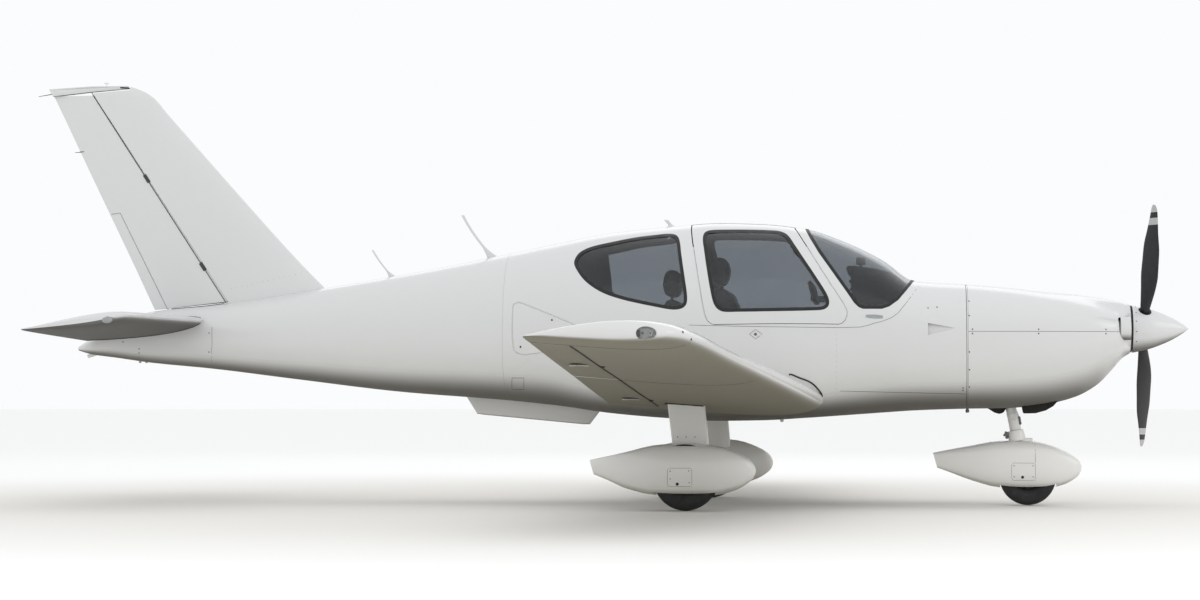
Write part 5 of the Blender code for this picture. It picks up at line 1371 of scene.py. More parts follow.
# %% [markdown]
# ## Keel and aerials
# A flat keel under the aft cabin steadies the aircraft in a spin. Three whip and blade
# aerials stand on the roof and the tail cone.
# %% Keel and aerials
KEEL = ((4.831, 0.740), (4.744, 0.603), (4.700, 0.596), (4.020, 0.532), (3.975, 0.532), (3.893, 0.640))
keel_rings = []
for y, shrink in ((-0.026, 0.016), (-0.024, 0.008), (-0.018, 0.002), (-0.010, 0.0), (0.010, 0.0), (0.018, 0.002),
                  (0.024, 0.008), (0.026, 0.016)):
    ring = [at(s, y, z) for s, z in grown(KEEL, -shrink)]
    keel_rings.append(ring + ring[:1])
keel = loft("keel_skin", keel_rings, closed_ends=True)
combine(keel, envelope(3.5, 5.4))
dress(keel, WING_PAINT, "airframe", "ventral_keel")

# name, base station, base z, tip station, tip z, chord at the base, sweep of the middle, least share
AERIALS = (
    ("antenna_roof", 3.420, 1.866, 3.458, 1.910, 0.062, 0.000, 0.46),
    ("antenna_mast_front", 4.640, 1.665, 4.847, 1.952, 0.085, 0.016, 0.24),
    ("antenna_mast_rear", 5.330, 1.535, 5.469, 1.718, 0.060, 0.010, 0.24),
)
for name, base, base_z, tip, tip_z, chord, sweep, least in AERIALS:
    rings = []
    for share in spaced(-0.10, 1.0, 0.06) + [1.003]:
        size = least + (1 - least) * max(0.0, 1 - (share + 0.02) / 0.30) ** 1.6 if share < 0.28 else least
        size *= 0.35 if share > 1 else 1.0
        bend = 4 * share * (1 - share) * sweep
        ring = []
        for i in range(20):
            angle = 2 * math.pi * i / 20
            ring.append(at(base + (tip - base) * share + bend - chord * size / 2 * math.cos(angle),
                           0.009 * size * math.sin(angle) * (1 + 0.25 * math.cos(angle)),
                           base_z + (tip_z - base_z) * share))
        rings.append(ring + ring[:1])
    mast = loft(name + "_blade", rings, closed_ends=True)
    dress(mast, WHITE_PAINT, "airframe", name)
print("keel and aerials ready")

# %% [markdown]
# ## Padding that swells
# A seat pad is foam under leather: its faces bulge, and its sides pull in between the
# corners. The pad starts as a slightly smaller block. Voxel remeshing gives it even faces,
# and Blender's Cloth blows it up a little, with no gravity. A cap on how far a point may
# travel keeps it inside its frame, and sewn channels are pressed in afterwards.
# %% Padding
def padding(name, piece, voxel, cap, pressure=4.0, frames=20):
    piece.name = piece.data.name = name
    remesh = piece.modifiers.new("remesh", "REMESH")
    remesh.mode, remesh.voxel_size, remesh.use_smooth_shade = "VOXEL", voxel, True
    apply_all(piece)
    before = [vertex.co.copy() for vertex in piece.data.vertices]
    cloth = piece.modifiers.new("cloth", "CLOTH")
    cloth.settings.use_pressure = True
    cloth.settings.uniform_pressure_force = pressure
    cloth.settings.effector_weights.gravity = 0.0
    cloth.settings.quality = 4
    cloth.point_cache.frame_start, cloth.point_cache.frame_end = 1, frames
    for frame_number in range(1, frames + 1):
        bpy.context.scene.frame_set(frame_number)
    apply_all(piece)
    bpy.context.scene.frame_set(1)
    travelled = 0.0
    for vertex, start in zip(piece.data.vertices, before):
        move = vertex.co - start
        if move.length > cap:
            vertex.co = start + move * (cap / move.length)
        travelled = max(travelled, (vertex.co - start).length)
    finer = piece.modifiers.new("finer", "SUBSURF")
    finer.levels = finer.render_levels = 1
    apply_all(piece)
    print(name, "points", len(piece.data.vertices), "travelled", round(1000 * travelled), "mm")
    return piece


def press_channels(piece, channels, depth=0.008, width=0.007):
    """Sewn channels: a function of place gives the distance from a channel."""
    normals = [vertex.normal.copy() for vertex in piece.data.vertices]
    for vertex, normal in zip(piece.data.vertices, normals):
        for distance_from in channels:
            distance = distance_from(vertex.co, normal)
            if distance < 3 * width:
                vertex.co -= normal * (depth * math.exp(-(distance / width) ** 2))
    piece.data.update()


def copied(piece, name, offset):
    bpy.ops.object.select_all(action="DESELECT")
    piece.select_set(True)
    bpy.context.view_layer.objects.active = piece
    bpy.ops.object.duplicate(linked=False)
    twin = bpy.context.object
    twin.location += Vector(offset)
    bpy.ops.object.transform_apply(location=True, rotation=False, scale=False)
    twin.name = twin.data.name = name
    return twin


# %% [markdown]
# ## Front seats
# One seat is made and then copied. Both slide on rails that slope down to the rear, and the
# left one stands further aft, as its headrest shows through the rear window. The back has
# two sewn channels and a seam across, and the headrest stands on two steel posts.
# %% Front seats
SEAT_Y = 0.27
CUSHION = ((2.600, 0.935), (2.580, 0.985), (2.590, 1.030), (2.630, 1.048), (2.890, 1.014), (2.960, 1.000), (2.960, 0.935))
BACK = ((2.965, 0.960), (2.948, 1.040), (2.955, 1.130), (2.962, 1.290), (2.996, 1.385), (3.040, 1.436), (3.098, 1.440),
        (3.128, 1.395), (3.104, 1.150), (3.056, 0.985), (3.030, 0.945))
HEADREST = ((3.040, 1.452), (3.016, 1.490), (3.010, 1.560), (3.020, 1.612), (3.050, 1.634), (3.100, 1.634), (3.126, 1.606),
            (3.132, 1.540), (3.126, 1.470), (3.095, 1.450))


def pad_block(name, outline, y, half, rounding):
    return soften(prism(name, outline, y - half, y + half), rounding, 3)


right_y = -SEAT_Y
cushion = padding("seat_cushion_right", pad_block("pad", CUSHION, right_y, 0.205, 0.022), 0.008, 0.024)
back = padding("seat_back_right", pad_block("pad", BACK, right_y, 0.203, 0.020), 0.008, 0.022)
rest = padding("headrest_right", pad_block("pad", HEADREST, right_y, 0.108, 0.022), 0.006, 0.018)


def lengthwise(y):
    return lambda place, normal: abs(place.y - y) if max(normal.x, normal.z) > 0.4 else 1.0


def crosswise(z, slope=0.0):
    return lambda place, normal: abs(place.z - z) if normal.x > 0.4 else 1.0


for piece in (cushion, back):
    press_channels(piece, [lengthwise(right_y - 0.085), lengthwise(right_y + 0.085)])
press_channels(back, [crosswise(1.345)], 0.006)
press_channels(rest, [lambda place, normal: abs(abs(place.y - right_y) - 0.098) if abs(normal.y) < 0.9 else 1.0], 0.004)

shell_parts = [
    block(at(2.815, right_y, 0.845), (0.400, 0.370, 0.120), rounding=0.020),
    block(at(3.075, right_y, 1.000), (0.055, 0.400, 0.200), (0, -0.35, 0), 0.015),
    block(at(2.975, right_y - 0.214, 1.000), (0.110, 0.022, 0.110), rounding=0.008),
]
for way in (-1, 1):
    shell_parts.append(block(at(2.820, right_y + way * 0.170, 0.7735), (0.470, 0.030, 0.026), rounding=0.003))
seat_shell = joined("seat_shell_right", shell_parts)
posts = joined("headrest_posts_right", [
    bar(at(3.082, right_y + way * 0.045, 1.415), at(3.076, right_y + way * 0.045, 1.500), 0.006, sides=16)
    for way in (-1, 1)])
SEAT_PIECES = ((cushion, LEATHER, True), (back, LEATHER, True), (rest, LEATHER, True), (seat_shell, PLASTIC, False),
               (posts, STEEL, False))
LEFT_SHIFT = (-0.360, 2 * SEAT_Y, -0.053)
for i, (piece, finish, soft) in enumerate(SEAT_PIECES):
    nodes = {"left": ["seat_front_left"], "right": ["seat_front_right"]} if i == 0 else {"left": [], "right": []}
    shift = LEFT_SHIFT if piece is not seat_shell else (LEFT_SHIFT[0], LEFT_SHIFT[1], 0.0)
    twin = copied(piece, piece.name.replace("right", "left"), shift)
    dress(piece, finish, "airframe", *nodes["right"])
    dress(twin, finish, "airframe", *nodes["left"])
print("front seats ready")

# %% [markdown]
# ## Rear bench and carpet
# The bench has one cushion and one back for two people, each with sewn channels. The carpet
# covers the flat floor and runs up the slope of the baggage space.
# %% Rear bench and carpet
BENCH_CUSHION = ((3.652, 0.860), (3.642, 0.960), (3.662, 0.998), (3.700, 1.004), (3.920, 0.975), (3.945, 0.960), (3.945, 0.860))
BENCH_BACK = ((3.985, 0.960), (3.978, 1.020), (3.984, 1.100), (4.014, 1.315), (4.034, 1.345), (4.062, 1.338), (4.066, 1.290),
              (4.030, 0.990), (4.020, 0.955))
bench = padding("bench_cushion", pad_block("pad", BENCH_CUSHION, 0.0, 0.380, 0.022), 0.010, 0.018)
bench_back = padding("bench_back", pad_block("pad", BENCH_BACK, 0.0, 0.380, 0.014), 0.010, 0.015)
for piece in (bench, bench_back):
    press_channels(piece, [lengthwise(y) for y in (-0.26, -0.12, 0.0, 0.12, 0.26)], 0.007, 0.009)
dress(bench, LEATHER, "airframe", "seat_rear")
dress(bench_back, LEATHER, "airframe")
bench_base = block(at(3.820, 0.0, 0.812), (0.340, 0.760, 0.098), rounding=0.010)
dress(joined("bench_base", [bench_base]), CARPET, "airframe")

inner_stations = spaced(1.475, 4.490, 0.12)
carpet = prism("floor_carpet", ((1.475, 0.750), (1.475, 0.7612), (4.100, 0.7612), (4.490, 0.7817), (4.490, 0.750)), -0.62, 0.62)
combine(carpet, loft("cabin_room", [fuselage_ring(s, WALL + 0.001) for s in inner_stations], closed_ends=True), "INTERSECT")
dress(carpet, CARPET, "airframe")
print("rear bench and carpet ready")

# %% [markdown]
# ## Instrument panel and yokes
# A glareshield of dull vinyl domes over the panel. Under it stand the round instruments of
# the left side and a radio stack in the middle. The two yokes slide in the panel on their
# shafts, and a small compass stands on the glareshield.
# %% Instrument panel and yokes
PANEL = ((1.830, 1.100), (1.830, 1.440), (1.870, 1.496), (1.950, 1.532), (2.060, 1.556), (2.190, 1.571), (2.232, 1.568),
         (2.240, 1.553), (2.214, 1.541), (2.190, 1.160), (2.050, 1.100))
panel = prism("panel_and_glareshield", PANEL, -0.60, 0.60)
combine(panel, loft("cabin_room", [fuselage_ring(s, WALL + 0.002) for s in inner_stations], closed_ends=True), "INTERSECT")
dress(soften(panel, 0.006), LINING, "airframe", "instrument_panel")


def panel_station(z):
    return 2.1895 + (z - 1.160) * 0.0349


dials, bezels = [], []
for y, z, radius in [(0.19 + 0.10 * i, 1.475 - 0.10 * j, 0.041) for i in range(3) for j in range(2)] + [
        (-0.20, 1.48, 0.030), (-0.27, 1.48, 0.030), (-0.20, 1.41, 0.030), (-0.27, 1.41, 0.030)]:
    face = panel_station(z)
    bezels.append(bar(at(face - 0.004, y, z), at(face + 0.008, y, z), radius, radius - 0.003, 40, 0.0015))
    dials.append(bar(at(face + 0.002, y, z), at(face + 0.0085, y, z), radius - 0.007, sides=40))
for j in range(4):
    bezels.append(block(at(panel_station(1.49 - 0.055 * j), 0.02, 1.49 - 0.055 * j), (0.022, 0.165, 0.050), rounding=0.003))
    for y in (-0.048, 0.088):
        z = 1.49 - 0.055 * j
        dials.append(bar(at(panel_station(z) + 0.010, y, z), at(panel_station(z) + 0.026, y, z), 0.008, 0.007, 20, 0.001))
dress(joined("instrument_bezels", bezels), PLASTIC, "airframe")
dress(joined("instrument_dials", dials), STEEL, "airframe")

compass = [block(at(2.149, 0.0, 1.626), (0.064, 0.058, 0.052), rounding=0.012),
           bar(at(2.149, 0.0, 1.560), at(2.149, 0.0, 1.604), 0.010, 0.008, 24)]
dress(joined("compass", compass), PLASTIC, "airframe")

for side, word in SIDES:
    y = side * SEAT_Y
    shaft = bar(at(panel_station(1.37) + 0.001, y, 1.37), at(2.462, y, 1.37), 0.0125, sides=32, rounding=0.002)
    collar = bar(at(panel_station(1.37) + 0.0005, y, 1.37), at(panel_station(1.37) + 0.014, y, 1.37), 0.026, 0.022, 32, 0.003)
    grips = [block(at(2.456, y, 1.368), (0.040, 0.105, 0.046), rounding=0.012)]
    for way in (-1, 1):
        path = [(2.452, way * 0.030, 1.362), (2.452, way * 0.085, 1.357), (2.456, way * 0.118, 1.378),
                (2.468, way * 0.130, 1.425), (2.476, way * 0.130, 1.462)]
        sizes = (0.015, 0.014, 0.014, 0.016, 0.014)
        for (first, second), r1, r2 in zip(zip(path, path[1:]), sizes, sizes[1:]):
            grips.append(bar(at(first[0], y + first[1], first[2]), at(second[0], y + second[1], second[2]), r1, r2, 24, 0.003))
            bpy.ops.object.select_all(action="DESELECT")
            bpy.ops.mesh.primitive_uv_sphere_add(
                segments=24, ring_count=12, radius=r2, location=at(second[0], y + second[1], second[2]))
            grips.append(bpy.context.object)
        grips.append(bar(at(2.478, y + way * 0.130, 1.455), at(2.494, y + way * 0.130, 1.458), 0.006, sides=16, rounding=0.001))
    bpy.ops.object.select_all(action="DESELECT")
    dress(joined(f"yoke_shaft_{word}", [shaft, collar]), STEEL, "airframe")
    dress(joined(f"yoke_wheel_{word}", grips), PLASTIC, "airframe", f"yoke_{word}")
print("panel and yokes ready")

# %% [markdown]
# ## Where a point lies on the skin
# Seams, rivets and screws sit on the skin. One function gives the place on the fuselage's
# side and the way it faces. Others do the same for the spats and the fin.
# %% Places on the surfaces
def skin_place(station, z, side):
    def here(s, h):
        return at(s, side * skin_y(s, h), h)

    along = here(station + 0.004, z) - here(station - 0.004, z)
    up = here(station, z + 0.004) - here(station, z - 0.004)
    facing = along.cross(up).normalized()
    return here(station, z), facing if facing.y * side > 0 else -facing


def spat_place(table, wheel_station, centre_y, station, z, side):
    offset, half, top, bottom = monotone(table, station - wheel_station)
    high = abs(z - (top + bottom) / 2) / ((top - bottom) / 2)
    angle = math.acos(min(high, 1.0) ** (1 / 0.72))
    return at(station, centre_y + side * half * math.sin(angle) ** 0.72, z), Vector((0, side, 0))


def fin_place(station, z, side):
    _, lead, trail, half = monotone(FIN, z)
    share = (station - lead) / (trail - lead)
    return at(station, side * fin_half(share, half), z), Vector((0, side, 0))


def finer(points, step=0.03):
    """More points along a broken line of station and z."""
    dense = []
    for first, second in zip(points, points[1:]):
        first, second = Vector(first), Vector(second)
        count = max(1, round((second - first).length / step))
        dense += [first.lerp(second, i / count) for i in range(count)]
    return dense + [Vector(points[-1])]


def tube(name, path, radius, sides=6):
    rings = []
    for i, point in enumerate(path):
        way = (path[min(i + 1, len(path) - 1)] - path[max(i - 1, 0)]).normalized()
        across = way.cross(Vector((0, 0, 1)) if abs(way.z) < 0.9 else Vector((1, 0, 0))).normalized()
        over = way.cross(across)
        ring = [point + across * (radius * math.cos(2 * math.pi * k / sides))
                + over * (radius * math.sin(2 * math.pi * k / sides)) for k in range(sides)]
        rings.append(ring + ring[:1])
    return loft(name, rings, closed_ends=True)


def seams(name, lines, place, radius=0.0012):
    """Thin dark lines along a surface, half sunk in it."""
    return joined(name, [tube("seam", [place(*point)[0] for point in finer(line)], radius) for line in lines])


def studs(name, places, radius=0.0042, height=0.0012):
    """One screw head, modelled once, then copied to each place and joined."""
    head = bar((0, 0, -height), (0, 0, height), radius, radius * 0.75, 12)
    copies = []
    for point, facing in places:
        bpy.ops.object.select_all(action="DESELECT")
        head.select_set(True)
        bpy.context.view_layer.objects.active = head
        bpy.ops.object.duplicate(linked=False)
        copy = bpy.context.object
        copy.rotation_euler = facing.to_track_quat("Z", "Y").to_euler()
        copy.location = point
        copies.append(copy)
    bpy.data.objects.remove(head, do_unlink=True)
    bpy.ops.object.select_all(action="DESELECT")
    for copy in copies:
        copy.select_set(True)
    bpy.context.view_layer.objects.active = copies[0]
    bpy.ops.object.transform_apply(location=True, rotation=True, scale=False)
    return joined(name, copies)


def patch(name, outline, side, wall=0.003, out=0.0012):
    """A thin plate that follows the fuselage's side."""
    low, high = min(point[0] for point in outline), max(point[0] for point in outline)
    plate = skin(name, spaced(low - 0.01, high + 0.01, 0.015), -out, wall)
    return combine(plate, prism("cutter", outline, *side_range(side, 0.1)), "INTERSECT")


print("surface helpers ready")

# %% [markdown]
# ## Seams, rivets and screws of the fuselage
# The lines follow the photograph: a sill line under the door, a frame line behind the
# firewall's bay, the windscreen's frame, and small hatches. Screws hold the cowling at its
# edges, and rivets follow the frame line.
# %% Seams and screws of the fuselage
SIDE_LINES = (
    ((2.279, 0.753), (1.893, 0.744), (1.467, 0.734)),
    ((3.254, 1.182), (2.857, 1.171), (2.290, 1.163), (2.148, 1.166)),
    ((2.148, 1.166), (2.100, 1.176), (2.060, 1.190), (2.001, 1.205), (1.943, 1.228), (1.904, 1.257), (1.846, 1.329), (1.807, 1.383),
     (1.770, 1.440)),
    ((2.861, 1.122), (2.822, 1.152), (2.780, 1.122), (2.822, 1.090), (2.861, 1.122)),
    ((4.442, 0.841), (4.360, 0.840), (4.370, 0.765), (4.454, 0.765), (4.442, 0.841)),
    ((6.538, 1.191), (6.538, 1.069), (6.559, 0.934)),
)
SIDE_SCREWS = (
    (1.447, 1.336), (1.447, 1.240), (1.447, 1.005), (1.447, 0.890), (1.447, 0.779), (1.427, 1.152), (1.427, 1.124),
    (1.002, 1.152), (1.002, 1.124), (0.566, 1.152), (0.566, 1.124), (1.488, 0.773), (1.488, 0.757), (1.711, 1.290),
    (1.653, 1.296), (6.559, 1.150), (6.563, 1.021), (7.066, 1.132), (7.061, 1.044), (7.065, 1.016), (7.174, 1.092),
)
rivet_z = [0.70 + 0.035 * i for i in range(13)]
for side, word in SIDES:
    lines = seams(f"fuselage_seams_{word}", SIDE_LINES, lambda s, z: skin_place(s, z, side))
    dress(lines, GAP_DARK, "airframe")
    dress(studs(f"fuselage_screws_{word}", [skin_place(s, z, side) for s, z in SIDE_SCREWS], 0.0052), SCREW, "airframe")
    rivets = [skin_place(2.300, z, side) for z in rivet_z]
    rivets += [fin_place(6.44 - 0.037 * i, 1.455 + 0.0082 * i, side) for i in range(15)]
    dress(studs(f"rivets_{word}", rivets, 0.0018, 0.0006), SCREW, "airframe")
    lock, facing = skin_place(2.822, 1.121, side)
    dress(joined(f"door_lock_{word}", [bar(lock - facing * 0.006, lock + facing * 0.0025, 0.010, 0.009, 32, 0.001)]), STEEL,
          "airframe")
    placard = patch(f"bare_placard_{word}", rounded(((2.108, 1.246), (2.108, 1.228), (2.004, 1.222), (2.004, 1.240))), side)
    dress(placard, ALLOY, "airframe")
    wedge = ((1.533, 1.159), (1.712, 1.192), (1.712, 1.114))
    rings = []
    for depth in (-0.020, None):
        ring = [at(s, side * (skin_y(s, z) - (depth if depth else 0.024 * (s - 1.533) / 0.179)), z) for s, z in wedge]
        rings.append(ring + ring[:1])
    combine(cabin, loft("inlet_ramp", rings, closed_ends=True))
latches = [skin_place(4.353, 1.110, -1), skin_place(4.376, 1.045, -1), skin_place(4.163, 1.220, -1)]
dress(studs("hatch_latches", latches, 0.0075, 0.002), SCREW, "baggage_door")
print("fuselage seams ready")

# %% [markdown]
# ## Lips of the doors and the hatch
# A painted lip inside each opening fills most of the gap, so that from outside a door shows a
# fine grey line and no black slot. It ends short of the roof, where the hinge needs room.
# %% Lips
for side, word in SIDES:
    lip = skin(f"door_lip_{word}", spaced(2.12, 3.32, 0.045), 0.0035, 0.003)
    combine(lip, door_block(side, PANEL_GAP / 2 + 0.002), "INTERSECT")
    combine(lip, door_block(side, -PANEL_GAP / 2 + 0.0011))
    combine(lip, prism("cutter", ((2.0, 1.70), (3.5, 1.70), (3.5, 2.1), (2.0, 2.1)), -0.9, 0.9))
    dress(lip, GEAR_PAINT, "airframe")
lip = skin("hatch_lip", spaced(3.66, 4.5, 0.06), 0.0035, 0.003)
combine(lip, prism("cutter", rounded(grown(BAGGAGE_DOOR, PANEL_GAP / 2 + 0.002)), -0.95, -0.2), "INTERSECT")
combine(lip, prism("cutter", rounded(grown(BAGGAGE_DOOR, -PANEL_GAP / 2 + 0.0011)), -0.95, -0.2))
dress(lip, GEAR_PAINT, "airframe")
print("lips ready")

# %% [markdown]
# ## Nose details
# Each air intake has a short round duct that stands a little out of the cheek, so from the
# side only a narrow slot shows behind its lip, and a dark disc inside the duct is a painted
# shade. A dark ring in the gap behind the spinner is a painted shade too, and screws hold
# the spinner to its back plate.
# %% Nose details
for side, word in SIDES:
    mouth = [(0.398, 0.0735), (0.402, 0.0742), (0.464, 0.0742), (0.464, 0.0670), (0.402, 0.0670), (0.398, 0.0678)]
    rings = []
    for station, radius in mouth + mouth[:1]:
        ring = [at(station, side * INTAKE_Y + radius * math.cos(2 * math.pi * k / 56),
                   COWL_SPLIT_Z + 0.022 + radius * math.sin(2 * math.pi * k / 56)) for k in range(56)]
        rings.append(ring + ring[:1])
    dress(loft(f"intake_duct_{word}", rings), WHITE_PAINT, "airframe")
    # A dark disc deep in each duct: painted shade.
    screen = drum(f"intake_shadow_{word}", at(0.520, side * (INTAKE_Y - 0.02), COWL_SPLIT_Z + 0.022), 0.085, 0.012, (1, 0, 0))
    dress(soften(screen, 0.003), GAP_DARK, "airframe")
# A dark ring that fills the gap behind the spinner: painted shade.
seal_ring = turned("spinner_gap_ring", [(0.3725, 0.060), (0.3725, 0.150), (0.3745, 0.1535), (0.3900, 0.1600), (0.3900, 0.060)],
                   PROP_CENTRE)
dress(seal_ring, GAP_DARK, "airframe")
spinner_places = []
for i in range(14):
    turn = Matrix.Rotation(2 * math.pi * (i + 0.5) / 14 + math.radians(PROP_TILT_DEG), 3, "X")
    out = turn @ Vector((0, 0, 1))
    spinner_places.append((at(0.350, 0, PROP_CENTRE.z) + out * monotone(SPINNER, 0.350)[1], out))
dress(studs("spinner_screws", spinner_places, 0.0042, 0.0010), SCREW, "propeller")
print("nose details ready")

# %% [markdown]
# ## Wing details
# The hollow in front of each flap and aileron, and the rudder's cove in the fin, take a painted
# shade: their faces get the dark gap finish, and dark lines along the gaps are painted shade
# too. Black rubber seals the root of the leading edge and the top of each gear leg. Under the
# wing a spar line of rivets, the joint of the tip and two half-round hinge fairings show. A
# clear lens in the tip covers the lamp.
# %% Wing details
# Paints the faces inside a hollow with the dark gap finish, a painted shade.
def darken(piece, inside):
    piece.data.materials.append(GAP_DARK)
    count = 0
    for face in piece.data.polygons:
        if inside(face.center):
            face.material_index = len(piece.data.materials) - 1
            count += 1
    print(piece.name, "dark faces", count)


def in_cove(place):
    row = monotone(WING, abs(place.y))
    share = (3.875 - place.x - row[1]) / (row[2] - row[1])
    if not 0.5 < share < 0.9 or not FLAP_SPAN[0] - 0.01 < abs(place.y) < AILERON_SPAN[1] + 0.01:
        return False
    top, low = wing_point(row, 1, share, 1).z, wing_point(row, 1, share, -1).z
    return low + 0.003 < place.z < top - 0.003


def in_fin_cove(place):
    station, z = 3.875 - place.x, place.z
    _, lead, trail, half = monotone(FIN, z)
    return abs(place.y) < fin_half((station - lead) / (trail - lead), half) - 0.003 and 1.3 < z < 2.84


# The coves' inner faces get a painted shade.
for word in ("right", "left"):
    darken(bpy.data.objects[f"wing_skin_{word}"], in_cove)
darken(fin, in_fin_cove)


def under_wing(y, share, side, lift=0.0):
    row = monotone(WING, abs(y))
    return wing_point(row, side, share, -1) - Vector((0, 0, lift))


ROOT_SEAL = ((2.606, 0.857), (2.536, 0.837), (2.471, 0.811), (2.427, 0.773), (2.395, 0.721), (2.420, 0.690), (2.470, 0.668),
             (2.560, 0.648))
HINGES = ((1.246, "flap"), (3.486, "aileron"))
for side, word in SIDES:
    path = [skin_place(*point, side)[0] for point in rounded(ROOT_SEAL)[:-4]]
    dress(joined(f"wing_root_seal_{word}", [tube("seal", path, 0.0055, 10)]), RUBBER, "airframe")
    lines = [[under_wing(2.64, share, side) for share in spaced(0.03, HINGE_SHARE - 0.012, 0.04)],
             [under_wing(4.60, share, side) for share in spaced(0.02, 0.99, 0.04)],
             [wing_point(monotone(WING, 4.60), side, share, 1) for share in spaced(0.02, 0.99, 0.04)]]
    dress(joined(f"wing_seams_{word}", [tube("seam", line, 0.0011) for line in lines]), GAP_DARK, "airframe")
    # Dark lines along the gaps of flap and aileron are painted shade.
    gaps = [[wing_point(monotone(WING, y), side, HINGE_SHARE - 0.0075, sign) for y in spaced(0.76, 4.555, 0.19)]
            for sign in (1, -1)]
    gaps = [tube("gap", path, radius) for path, radius in zip(gaps, (0.0018, 0.0036))]
    dress(joined(f"control_gaps_{word}", gaps), GAP_DARK, "airframe")
    dots = [(under_wing(2.665, share, side), Vector((0, 0, -1))) for share in spaced(0.05, 0.74, 0.03)]
    dots += [(under_wing(4.63, share, side), Vector((0, 0, -1))) for share in (0.05, 0.2, 0.35, 0.5, 0.65, 0.8)]
    dress(studs(f"wing_rivets_{word}", dots, 0.0022, 0.0006), SCREW, "airframe")
    edge = [(wing_point(monotone(WING, y), side, 0.004, sign), Vector((1, 0, 0))) for y, sign in ((4.745, 1), (4.63, -1))]
    dress(studs(f"wing_edge_screws_{word}", edge, 0.0075, 0.0030), SCREW, "airframe")
    pivots = []
    for y, kind in HINGES:
        hinge = under_wing(y, HINGE_SHARE, side)
        dome = ellipsoid(hinge + Vector((-0.102, 0, 0.002)), (0.054, 0.085, 0.012), 40)
        combine(dome, block(hinge + Vector((-0.102, 0, 0.062)), (0.200, 0.300, 0.100), (0, 0.02, 0), 0.001))
        dress(joined(f"hinge_fairing_{kind}_{word}", [dome]), WING_PAINT, f"{kind}_{word}")
        pivots.append(bar(hinge + Vector((0.026, 0, 0.004)), hinge + Vector((0.026, 0, -0.012)), 0.014, 0.011, 24, 0.002))
        pivots.append(block(hinge + Vector((0.055, 0, 0.002)), (0.050, 0.012, 0.012), rounding=0.002))
    dress(joined(f"hinge_pivots_{word}", pivots), PLASTIC, "airframe")

holder = block(LAMP + Vector((-0.036, 0.004, 0)), (0.022, 0.022, 0.036), rounding=0.003)
lamp_ring = joined("lamp_ring", [bar(LAMP + Vector((0.026, 0.006, 0)), LAMP + Vector((0.026, -0.005, 0)), 0.017, 0.015, 36, 0.002)])
combine(lamp_ring, drum("cutter", LAMP + Vector((0.026, -0.006, 0)), 0.011, 0.012))
bulb = joined("lamp_bulb", [bar(LAMP + Vector((0.026, 0.004, 0)), LAMP + Vector((0.026, -0.006, 0)), 0.0055, 0.004, 20, 0.002),
                            bar(LAMP + Vector((-0.012, 0.004, 0)), LAMP + Vector((-0.012, -0.004, 0)), 0.007, 0.006, 20, 0.002)])
lens = ellipsoid(LAMP, (0.060, 0.020, 0.0345))
combine(lens, ellipsoid(LAMP, (0.0585, 0.0185, 0.033)))
combine(lens, block(LAMP + Vector((0, 0.052, 0)), (0.200, 0.100, 0.200), rounding=0.001))
for piece, name, finish in ((joined("holder", [holder]), "tip_lamp_holder_{}", PLASTIC), (lamp_ring, "tip_lamp_ring_{}", ALLOY),
                            (bulb, "tip_lamp_bulbs_{}", STEEL), (lens, "tip_lamp_lens_{}", CLEAR_ACRYLIC)):
    both_sides(piece, name, finish, "airframe")

for side, word in SIDES:
    leg_ring = []
    for i in range(48):
        angle = 2 * math.pi * i / 48
        c, s = math.cos(angle), math.sin(angle)
        station, y = 3.248 - 0.128 * math.copysign(abs(c) ** 0.62, c), 1.077 + 0.039 * math.copysign(abs(s) ** 0.55, s)
        row = monotone(WING, y)
        leg_ring.append(wing_point(row, side, (station - row[1]) / (row[2] - row[1]), -1))
    gasket = [[point + Vector((0, 0, lift)) for point in leg_ring + leg_ring[:1]] for lift in (0.004, -0.004, -0.007)]
    dress(loft(f"leg_top_seal_{word}", gasket, closed_ends=True), RUBBER, "airframe")
print("wing details ready")

# %% [markdown]
# ## Spat details
# A small plate on each spat gives access to the wheel's axle and its tyre valve. Its edge is
# a thin line, four screws hold it, and a rubber bush closes the valve hole.
# %% Spat details
def spat_details(name, body, table, wheel_station, centre_y, side, plate, screws, hole, lines):
    def place(s, z):
        return spat_place(table, wheel_station, centre_y, s, z, side)

    s0, s1, z0, z1 = plate
    corner = 0.012
    frame_line = [(s0 + corner, z0), (s1 - corner, z0), (s1, z0 + corner), (s1, z1 - corner), (s1 - corner, z1),
                  (s0 + corner, z1), (s0, z1 - corner), (s0, z0 + corner), (s0 + corner, z0)]
    dress(seams(name + "_plate_seam", [frame_line, *lines], place, 0.0009), GAP_DARK, body)
    dress(studs(name + "_plate_screws", [place(*screw) for screw in screws], 0.0038, 0.0012), SCREW, body)
    point, facing = place(*hole)
    bush = [bar(point - facing * 0.004, point + facing * 0.0022, 0.0105, 0.0095, 32, 0.001)]
    dress(joined(name + "_valve_bush", bush), RUBBER, body)


for side, word in SIDES:
    spat_details(f"main_{word}", "airframe", MAIN_SPAT, MAIN_STATION, side * WHEEL_Y, side, (3.186, 3.339, 0.155, 0.270),
                 ((3.205, 0.253), (3.322, 0.251), (3.322, 0.203), (3.202, 0.180)), (3.278, 0.171),
                 (((3.339, 0.155), (3.339, 0.120)), ((3.186, 0.155), (3.186, 0.120))))
    spat_details(f"nose_{word}", "nose_steer", NOSE_SPAT, NOSE_STATION, 0.0, side, (1.009, 1.164, 0.166, 0.280),
                 ((1.025, 0.262), (1.148, 0.262), (1.148, 0.190), (1.025, 0.190)), (1.093, 0.187),
                 (((1.009, 0.166), (1.009, 0.130)), ((1.009, 0.280), (1.009, 0.425)), ((1.164, 0.166), (1.164, 0.132))))
    foot_screws = [(at(s, side * 1.1125, 0.462), Vector((0, side, 0))) for s in (3.180, 3.235, 3.290)]
    dress(studs(f"leg_foot_screws_{word}", foot_screws, 0.0036, 0.0012), SCREW, "airframe")
print("spat details ready")
